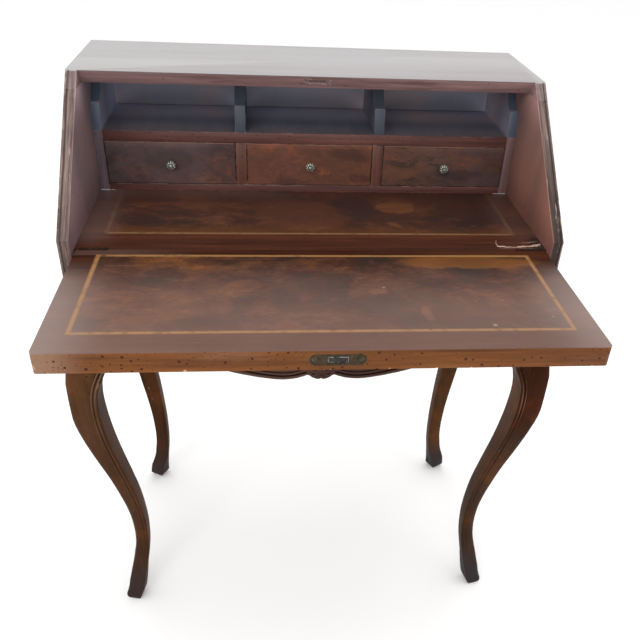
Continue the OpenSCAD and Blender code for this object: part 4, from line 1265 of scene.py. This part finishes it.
class DESK_OT_legs(DeskOperator):
    """Makes the four cabriole legs"""
    bl_idname = "desk.legs"
    bl_label = "Legs"

    def execute(self, context):
        finish = leg_finish("leg_wax")
        for rear, end in ((False, "front"), (True, "back")):
            for side, hand in HANDS:
                finished(
                    leg_piece(side, rear), f"cabriole_leg_{end}_{hand}", "case", finish,
                    [f"leg_{end}_{hand}"], 50)
        return {"FINISHED"}


class DESK_OT_aprons(DeskOperator):
    """Makes the front and side aprons, their beads and the carved leaf"""
    bl_idname = "desk.aprons"
    bl_label = "Aprons"

    def execute(self, context):
        shape = context.scene.desk_shape
        legs = FINISHES["leg_wax"]
        dark = leg_finish("apron_wax", 0.62, "X")

        def square(edge):
            return edge.calc_face_angle(0) > math.radians(60)
        for node, name in (
                ("front_apron", "carved_apron"), ("side_apron_left", "shaped_apron_left"),
                ("side_apron_right", "shaped_apron_right")):
            softened(node, name, "case", dark, shape.board_arris, 0.004, square)
        for side, hand in HANDS:
            for bead, name in ((self.front_bead, "front_bead"), (self.side_bead, "side_bead")):
                finished(
                    bead(side), f"{name}_{hand}", "case", legs, angle=60)
        finished(self.leaf(), "carved_leaf", "case", dark, angle=80)
        return {"FINISHED"}

    def front_bead(self, side):
        """The double bead up the front of a leg and in along the front apron to the carved leaf."""
        low = CASE_LOW - APRON_DROP
        mid = side * APRON_MID
        leg = [(HALF - a, z) for a, z in leg_edge(0.0, BEAD_FROM)]
        apron = [
            (mid + APRON_HALF * s, low + APRON_DROP * r)
            for s, r in reversed(APRON_CURVE) if s > 0.05]

        def place(a, z, radius):
            return side * a, FRONT - leg_out(z / CASE_LOW, FOOT_BACK) + radius * 0.15, z
        return double_bead(eased(leg + apron), 1, place, (0, -1, 0))

    def side_bead(self, side):
        """The double bead up a front leg's side, along the side apron and down the back leg."""
        y0, y1 = FRONT + HEAD_W, BACK - HEAD_W
        path = [(FRONT + a, z) for a, z in leg_edge(FOOT_BACK, BEAD_FROM)]
        for i in range(1, 24):
            turn = 2 * math.pi * i / 24
            rise = 0.62 - 0.5 * math.cos(turn) - 0.12 * math.cos(2 * turn)
            path.append((y0 + (y1 - y0) * i / 24, HEAD_LOW + SIDE_RISE * rise))
        path += [(BACK - a, z) for a, z in reversed(leg_edge(FOOT_BACK, BEAD_FROM))]

        def place(y, z, radius):
            foot_in = BACK_FOOT_IN if y > (FRONT + BACK) / 2 else 0.0
            out = min(leg_out(z / CASE_LOW, foot_in) - radius * 0.15, KNEE_OUT - radius)
            return side * (HALF + out), y, z
        return double_bead(eased(path), -1, place, (side, 0, 0))

    def leaf(self):
        """A small carved leaf: five lobes over two scrolls, in the middle of the front apron."""
        face = FRONT - KNEE_OUT * 0.93
        foot = Vector((APRON_MID, face, CASE_LOW - APRON_DROP + 0.0115))
        lobes = []
        for turn, length, width in (
                (0, 0.026, 0.0042), (-30, 0.023, 0.0040), (30, 0.023, 0.0040),
                (-62, 0.019, 0.0036), (62, 0.019, 0.0036), (-100, 0.0135, 0.0034),
                (100, 0.0135, 0.0034), (-152, 0.0108, 0.0040), (152, 0.0108, 0.0040)):
            rings = [(0.0010, 0.0)]
            for i in range(1, 8):
                t = i / 8
                rings.append((width * math.sin(math.pi * t) ** 0.7 * (0.75 + 0.4 * t), length * t))
            rings.append((0.0005, length))
            a = math.radians(turn)
            lobe = turned(rings, 12, foot, (math.sin(a), -0.08, math.cos(a)))
            # The lobes' sides are marked as hollows, for painted shade.
            marked(lobe, "hollow", lambda face: face.normal.y > -0.35)
            lobes.append(lobe)
        return joined(lobes)


class DESK_OT_case(DeskOperator):
    """Softens the boards of the case and cuts the groove along the side panels"""
    bl_idname = "desk.case"
    bl_label = "Case"

    def execute(self, context):
        shape = context.scene.desk_shape
        side = side_walnut()
        for way, hand in HANDS:
            piece = self.worn(copied(f"side_panel_{hand}"), shape)
            self.groove(piece, way, shape.groove)
            finished(piece, f"moulded_side_{hand}", "case", side, [f"side_panel_{hand}"])
        piece = self.worn(copied("top_board"), shape)
        for way in (-1, 1):
            self.groove(piece, way, shape.groove)
        finished(piece, "worn_top", "case", top_walnut(), ["top_board"])
        f = Finish("frieze_walnut")
        wood, height, patches = plain_wood(f, "X", (0.105, 0.041, 0.019), 12.0)
        wood, height = holed(f, rubbed(f, wood, 0.4), height, pits(f, 0.02, 0.001) * 0.8)
        frieze = f.set(wood, 0.42 + patches * 0.1, height, 0.0002, specular_ior_level=0.18)
        softened(
            "frieze_panel", "frieze_front", "case", frieze, shape.fine_arris, 0.015)
        pine = carcass_pine()
        dressed("hinge_rail", frieze)
        for node in ("bottom_board", "back_rail", "loper_guide_left", "loper_guide_right"):
            dressed(node, pine)
        return {"FINISHED"}

    def worn(self, piece, shape):
        """Rounds a board's arrises, but not those of the joint between the side and the top."""
        def joint(edge):
            return all(
                abs(v.co.z - JOINT_Z) < 0.0002 and abs(v.co.x) > INNER - 0.0002
                for v in edge.verts)

        def outer(edge):
            return (all(abs(v.co.x) > HALF - 0.0001 for v in edge.verts) and not joint(edge)
                    and any(f.normal.y < -0.2 for f in edge.link_faces))
        arrised(piece, shape.board_arris * 1.7, outer, 0.01, 3)
        return arrised(piece, shape.board_arris, lambda e: not joint(e) and not outer(e), 0.015)

    def groove(self, piece, way, depth):
        """A narrow groove along the sloping and upright front edges, near the outer face."""
        low, high = HALF - GROOVE_IN - GROOVE_WIDE, HALF - GROOVE_IN
        scored(piece, way * low, way * high)

        def in_strip(face):
            x = face.calc_center_median().x * way
            return low < x < high and face.normal.y < -0.3 and abs(face.normal.x) < 0.3
        if pick(piece, in_strip):
            bpy.ops.mesh.extrude_region_shrink_fatten(TRANSFORM_OT_shrink_fatten={"value": -depth})
        alone(piece)


def dressed(node, finish):
    """Gives a CAD node that keeps its shape a finish of its own."""
    obj = frame["nodes"][node]
    if not obj.data.materials:
        obj.data.materials.append(finish)
    for i in range(len(obj.material_slots)):
        obj.material_slots[i].link = "OBJECT"
        obj.material_slots[i].material = finish


class DESK_OT_writing(DeskOperator):
    """Makes the writing board and the fall, with their veneer, stringing and splinters"""
    bl_idname = "desk.writing"
    bl_label = "Writing board and fall"

    def execute(self, context):
        softened(
            "writing_board", "veneered_board", "case", board_veneer(), 0.0005, 0.03)
        piece = copied("fall_panel")

        def corner(edge):
            a, b = (v.co for v in edge.verts)
            return abs(a.z - b.z) > 0.02 and a.y < EDGE_Y + 0.001 and abs(a.x) > 0.33
        arrised(piece, 0.0042, corner, 0.02, 4)
        arrised(piece, 0.0016, None, 0.05, 3)
        finished(piece, "veneered_fall", "fall", fall_veneer(), ["fall_panel"])
        bare = torn_wood()
        torn = [
            self.splinter(0.036, 0.0034, (0.3195, 0.0125, 0.0006), 7, (2, -1.5, 5)),
            self.splinter(0.014, 0.0022, (0.3330, 0.0175, 0.0007), 3, (4, -3, 14))]
        for radius, line in (
                (0.0007, (
                    (0.2745, 0.0360), (0.2738, 0.0300), (0.2715, 0.0245), (0.2720, 0.0180),
                    (0.2712, 0.0140), (0.2760, 0.0125), (0.2800, 0.0130), (0.2850, 0.0105),
                    (0.2910, 0.0112), (0.2960, 0.0095), (0.3020, 0.0100))),
                (0.0005, (
                    (0.3120, 0.0255), (0.3200, 0.0262), (0.3290, 0.0290), (0.3350, 0.0300),
                    (0.3395, 0.0330)))):
            torn.append(beaded([(x, SEAM_Y + y, WRITE_Z + 0.0001) for x, y in line], radius))
        finished(joined(torn), "torn_veneer", "case", bare, angle=60)
        return {"FINISHED"}

    def splinter(self, length, width, at, seed, turn):
        """A ragged sliver of veneer lying on the board, at a place behind the seam."""
        piece = begun(bpy.ops.mesh.primitive_plane_add, size=1)
        bpy.ops.mesh.subdivide(number_cuts=12)
        bpy.ops.transform.resize(value=(length, width, 1))
        bpy.ops.transform.vertex_random(offset=width * 0.22, uniform=0.3, seed=seed)
        drawn_out((0, 0, 0.0004))
        closed(piece)
        piece.rotation_euler = [math.radians(a) for a in turn]
        return placed(piece, (at[0], SEAM_Y + at[1], WRITE_Z + at[2]))


class DESK_OT_interior(DeskOperator):
    """Softens the boards of the fitted interior"""
    bl_idname = "desk.interior"
    bl_label = "Fitted interior"

    def execute(self, context):
        arris = context.scene.desk_shape.fine_arris
        rails = rail_walnut("rail_walnut", "X", None, 1.75)
        posts = rail_walnut("post_walnut", "Z", None, 0.0, (0.150, 0.058, 0.042))
        ends = rail_walnut("end_walnut", "Z", SHELF_Z, 0.9, (0.135, 0.085, 0.088))
        fumed = fumed_walnut("fumed_walnut", 0.9)
        for node, finish in (
                ("unit_base", rails), ("unit_shelf", rails), ("partition_left", posts),
                ("partition_right", posts), ("unit_end_left", ends), ("unit_end_right", ends),
                ("divider_left", fumed), ("divider_right", fumed)):
            softened(
                node, f"{node}_soft", "case", finish, arris, 0.008,
                fronts=True)
        dressed("back_board", fumed_walnut("fumed_back", 1.08))
        return {"FINISHED"}


class DESK_OT_drawers(DeskOperator):
    """Dresses the three drawers and gives each a fluted knob"""
    bl_idname = "desk.drawers"
    bl_label = "Drawers"

    def execute(self, context):
        veneer = drawer_veneer()
        pine = FINISHES["carcass_pine"]
        silver = metal(
            "knob_brass", (0.42, 0.43, 0.37), (0.20, 0.20, 0.17), (0.80, 0.80, 0.72), 0.45, 1.0,
            grain=2.0)
        for place in ("left", "middle", "right"):
            body = f"drawer_{place}"
            softened(f"{body}_front", f"{body}_veneer", body, veneer, 0.0007, 0.02)
            dressed(f"{body}_frame", pine)
            dressed(f"{body}_bottom", pine)
            knob = f"{body}_knob"
            finished(
                self.rosette(knob), f"{body}_rosette", body, silver, [knob], 40)
        return {"FINISHED"}

    def rosette(self, node):
        """A turned knob whose head is a rosette of ten petals round a small button."""
        petals, steps = 10, 8
        piece, at, r, out = turned_knob(node, UNIT_Y, (
            (0.22, 0.0), (0.46, 0.004), (0.48, 0.05), (0.34, 0.14), (0.30, 0.34), (0.42, 0.48),
            (0.80, 0.56), (0.96, 0.62), (1.0, 0.69), (0.96, 0.77), (0.84, 0.86), (0.68, 0.92),
            (0.50, 0.92), (0.40, 0.87), (0.345, 0.86), (0.33, 0.92), (0.25, 0.98),
            (0.08, 1.0)), petals * steps)

        def valley(co):
            """0 on the ridge of a petal and 1 in the cut between two."""
            turn = math.atan2(co.z - at.z, co.x - at.x) / (2 * math.pi) * petals
            return abs((turn - math.floor(turn)) - 0.5) * 2

        def spot(co):
            """Distance from the axis in radii, and how far out in shares of the reach."""
            return math.hypot(co.x - at.x, co.z - at.z) / r, (UNIT_Y - co.y) / out

        def on_head(co):
            far, high = spot(co)
            return far > 0.47 and 0.5 < high < 0.95
        for near, keep, back in ((1.0, 0.70, 0.0016), (0.75, 0.90, 0.0006), (0.5, 0.975, 0.0001)):
            if pick(piece, lambda v: on_head(v.co) and abs(valley(v.co) - near) < 0.1, "VERT"):
                bpy.ops.transform.resize(value=(keep, 1, keep), center_override=at)
                bpy.ops.transform.translate(value=(0, back, 0))
        alone(piece)

        def cut(face):
            far, high = spot(face.center)
            petal_cut = valley(face.center) > 0.70 and far > 0.42
            return high > 0.45 and (petal_cut or 0.34 < far < 0.45)
        return marked(piece, "hollow", cut)


def slotted_screw(at, axis, radius, turn):
    """A countersunk screw head with a slot, its top a hair below the plate."""
    rings = ((0.55, -0.50), (1.0, -0.05), (0.95, 0.0))
    piece = turned([(radius * k, radius * s) for k, s in rings], 28, (0, 0, 0), (0, 0, 1))
    half = radius * 0.15
    scored(piece, -half, half)
    if pick(piece, lambda f: f.normal.z > 0.9 and abs(f.calc_center_median().x) < half * 0.9):
        drawn_out((0, 0, -radius * 0.22))
    alone(piece)
    marked(piece, "hollow", lambda f: f.normal.z > 0.9 and f.center.z < -radius * 0.1)
    spin = Vector((0, 0, 1)).rotation_difference(axis)
    piece.rotation_quaternion = spin @ Euler((0, 0, turn)).to_quaternion()
    return placed(piece, at - axis * 0.0001)


class DESK_OT_lock(DeskOperator):
    """Makes the lock's plate, bolt and screws, the strike and the keyhole's shield"""
    bl_idname = "desk.lock"
    bl_label = "Lock"

    def execute(self, context):
        look = context.scene.desk_finish
        iron = metal(
            "browned_iron", look.iron, scaled(look.iron, 0.40), scaled(look.iron, 2.2), 0.55, 2.0,
            metallic=0.6)
        brass = metal(
            "dull_brass", look.brass, scaled(look.brass, 0.3), scaled(look.brass, 1.8), 0.70, 3.0,
            metallic=0.15)
        steel = metal(
            "screw_steel", (0.036, 0.031, 0.032), (0.018, 0.016, 0.016), (0.30, 0.28, 0.25), 0.62,
            4.0, metallic=0.6)
        bright = metal(
            "rubbed_brass", (0.30, 0.235, 0.20), (0.10, 0.065, 0.055), (0.75, 0.68, 0.62), 0.40,
            5.0)
        softened("lock_plate", "lock_face", "fall", iron, 0.0005, 0.006)
        softened("lock_bolt", "lock_tongue", "bolt", steel, 0.0009, 0.006)
        dressed("lock_case", iron)
        softened(
            "key_escutcheon", "keyhole_shield", "fall", brass, 0.0003, 0.003)
        # The strike's rosy brass takes painted glints.
        rosy = metal(
            "strike_brass", (0.235, 0.150, 0.140), (0.165, 0.098, 0.092), (0.68, 0.58, 0.54), 0.5,
            7.0, metallic=0.15, glint=0.9)
        softened("strike_plate", "strike_face", "case", rosy, 0.0003, 0.006)
        glint = metal(
            "glinting_steel", (0.085, 0.075, 0.055), (0.030, 0.026, 0.018), (0.42, 0.38, 0.32),
            0.45, 6.0, grain=2.5)
        self.screws("lock_screws", "lock_screw_heads", "fall", glint, Vector((0, -1, 0)))
        self.screws(
            "strike_screws", "strike_screw_heads", "case", bright, self.strike_normal())
        return {"FINISHED"}

    def strike_normal(self):
        """The way the strike faces: square to the slope of the sides."""
        faces = frame["nodes"]["strike_plate"].data.polygons
        leaning = [p.normal.copy() for p in faces if p.normal.y < -0.3 and p.normal.z < -0.3]
        return sum(leaning, Vector((0, 0, 0))).normalized()

    def screws(self, node, name, body, finish, axis):
        """Slotted heads where a node's two screws are, on rods of the node's length."""
        obj = frame["nodes"][node]
        heads = []
        for way in (-1, 1):
            points = [v.co for v in obj.data.vertices if (v.co.x - LOCK_X) * way > 0]
            top = max(p.dot(axis) for p in points)
            rim = [p for p in points if p.dot(axis) > top - 0.00001]
            middle = sum(rim, Vector((0, 0, 0))) / len(rim)
            radius = max((p - middle).length for p in rim)
            heads.append(slotted_screw(middle, axis, radius, 0.5 + way * 0.35))
            low = min(p.dot(axis) for p in points)
            rings = [(radius * 0.5, 0.0), (radius * 0.5, (top - low) * 0.8), (0.0002, top - low)]
            heads.append(turned(rings, 14, middle - axis * radius * 0.4, -axis))
        finished(joined(heads), name, body, finish, [node], 30)


class DESK_OT_hinges(DeskOperator):
    """Dresses the two butt hinges"""
    bl_idname = "desk.hinges"
    bl_label = "Hinges"

    def execute(self, context):
        leaf = metal(
            "hinge_brass", (0.024, 0.011, 0.007), (0.010, 0.005, 0.004), (0.10, 0.06, 0.04), 0.75,
            8.0, metallic=0.0, gloss=0.06)
        for _, hand in HANDS:
            dressed(f"hinge_fixed_leaf_{hand}", leaf)
            dressed(f"hinge_moving_leaf_{hand}", leaf)
        for node in ("hinge_pins", "hinge_fixed_screws", "hinge_moving_screws"):
            dressed(node, FINISHES["screw_steel"])
        return {"FINISHED"}


class DESK_OT_lopers(DeskOperator):
    """Dresses the lopers and their knobs"""
    bl_idname = "desk.lopers"
    bl_label = "Lopers"

    def execute(self, context):
        arris = context.scene.desk_shape.fine_arris
        f = Finish("loper_walnut")
        wood, height, patches = plain_wood(f, "Y", (0.115, 0.052, 0.030), 6.0)
        wood = rubbed(f, wood, 0.7)
        wood = f.set(wood, 0.45 + patches * 0.1, height, 0.0002, specular_ior_level=0.3)
        for _, hand in HANDS:
            body = f"loper_{hand}"
            softened(body, f"{body}_soft", body, wood, arris)
            dressed(f"loper_stop_{hand}", FINISHES["carcass_pine"])
            knob = f"loper_knob_{hand}"
            finished(
                self.knob(knob), f"{body}_pull", body, FINISHES["rubbed_brass"], [knob],
                50)
        return {"FINISHED"}

    def knob(self, node):
        """A small turned pull with a bead round its neck."""
        return turned_knob(node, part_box("loper_left")[0].y, (
            (0.28, 0.0), (0.62, 0.004), (0.66, 0.06), (0.50, 0.13), (0.40, 0.30), (0.42, 0.40),
            (0.55, 0.44), (0.55, 0.48), (0.48, 0.52), (0.78, 0.60), (0.95, 0.68), (1.0, 0.76),
            (0.95, 0.85), (0.78, 0.93), (0.45, 0.985), (0.10, 1.0)), 40)[0]


class DESK_OT_stage(DeskOperator):
    """Sets up the camera, the soft studio light and the pale floor"""
    bl_idname = "desk.stage"
    bl_label = "Camera, light and floor"

    def execute(self, context):
        scene = context.scene
        look = scene.desk_finish
        alone()
        bpy.ops.object.camera_add(location=CAMERA_AT)
        camera = context.active_object
        camera.name = "photo_camera"
        camera.rotation_mode = "XYZ"
        camera.rotation_euler = CAMERA_TURN
        camera.data.sensor_width = SENSOR
        camera.data.lens = CAMERA_FOCAL / PICTURE * SENSOR
        camera.data.shift_x = 0.5 - CAMERA_MIDDLE[0] / PICTURE
        camera.data.shift_y = CAMERA_MIDDLE[1] / PICTURE - 0.5
        camera.data.clip_end = 60
        scene.camera = camera

        world = bpy.data.worlds.new("studio_white")
        world.use_nodes = True
        world.node_tree.nodes["Background"].inputs[0].default_value = (1.0, 1.0, 1.0, 1.0)
        world.node_tree.nodes["Background"].inputs[1].default_value = 1.0
        scene.world = world
        for name, at, size_of, power, turn in (
                ("front_window", (-0.9, -3.0, 2.6), 2.4, 60, (52, 0, -16)),
                ("ceiling_light", (0.3, 0.2, 3.4), 2.6, 30, (0, 0, 0))):
            bpy.ops.object.light_add(type="AREA", location=at)
            light = context.active_object
            light.name = name
            light.rotation_euler = [math.radians(a) for a in turn]
            light.data.size, light.data.energy = size_of, power
        scene.view_settings.view_transform = "Standard"

        alone()
        bpy.ops.mesh.primitive_plane_add(size=60, location=(0, 0, 0))
        floor = context.active_object
        floor.name = floor.data.name = "studio_floor"
        f = Finish("studio_floor")
        tone = f.mix(look.floor, scaled(look.floor, 0.985), f.noise(f.place, 1.5, 2))
        floor.data.materials.append(f.set(tone, 0.7))
        return {"FINISHED"}


STEPS = (
    DESK_OT_stage, DESK_OT_legs, DESK_OT_aprons, DESK_OT_case, DESK_OT_writing, DESK_OT_interior,
    DESK_OT_drawers, DESK_OT_lock, DESK_OT_hinges, DESK_OT_lopers,
)


class DESK_PT_panel(bpy.types.Panel):
    """The desk's panel in the sidebar"""
    bl_idname = "DESK_PT_panel"
    bl_label = "Drop-front desk"
    bl_space_type = "VIEW_3D"
    bl_region_type = "UI"
    bl_category = "Desk"

    def draw(self, context):
        for step in STEPS:
            self.layout.operator(step.bl_idname)
        for group in (context.scene.desk_shape, context.scene.desk_finish):
            box = self.layout.box()
            for key in group.__annotations__:
                box.prop(group, key)


CLASSES = (DeskShape, DeskFinish, *STEPS, DESK_PT_panel)


def register():
    for each in CLASSES:
        bpy.utils.register_class(each)
    bpy.types.Scene.desk_shape = bpy.props.PointerProperty(type=DeskShape)
    bpy.types.Scene.desk_finish = bpy.props.PointerProperty(type=DeskFinish)


def unregister():
    del bpy.types.Scene.desk_shape, bpy.types.Scene.desk_finish
    for each in reversed(CLASSES):
        bpy.utils.unregister_class(each)


def main():
    """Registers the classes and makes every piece."""
    register()
    for step in STEPS:
        group, name = step.bl_idname.split(".")
        getattr(getattr(bpy.ops, group), name)()


if __name__ == "__main__":
    main()
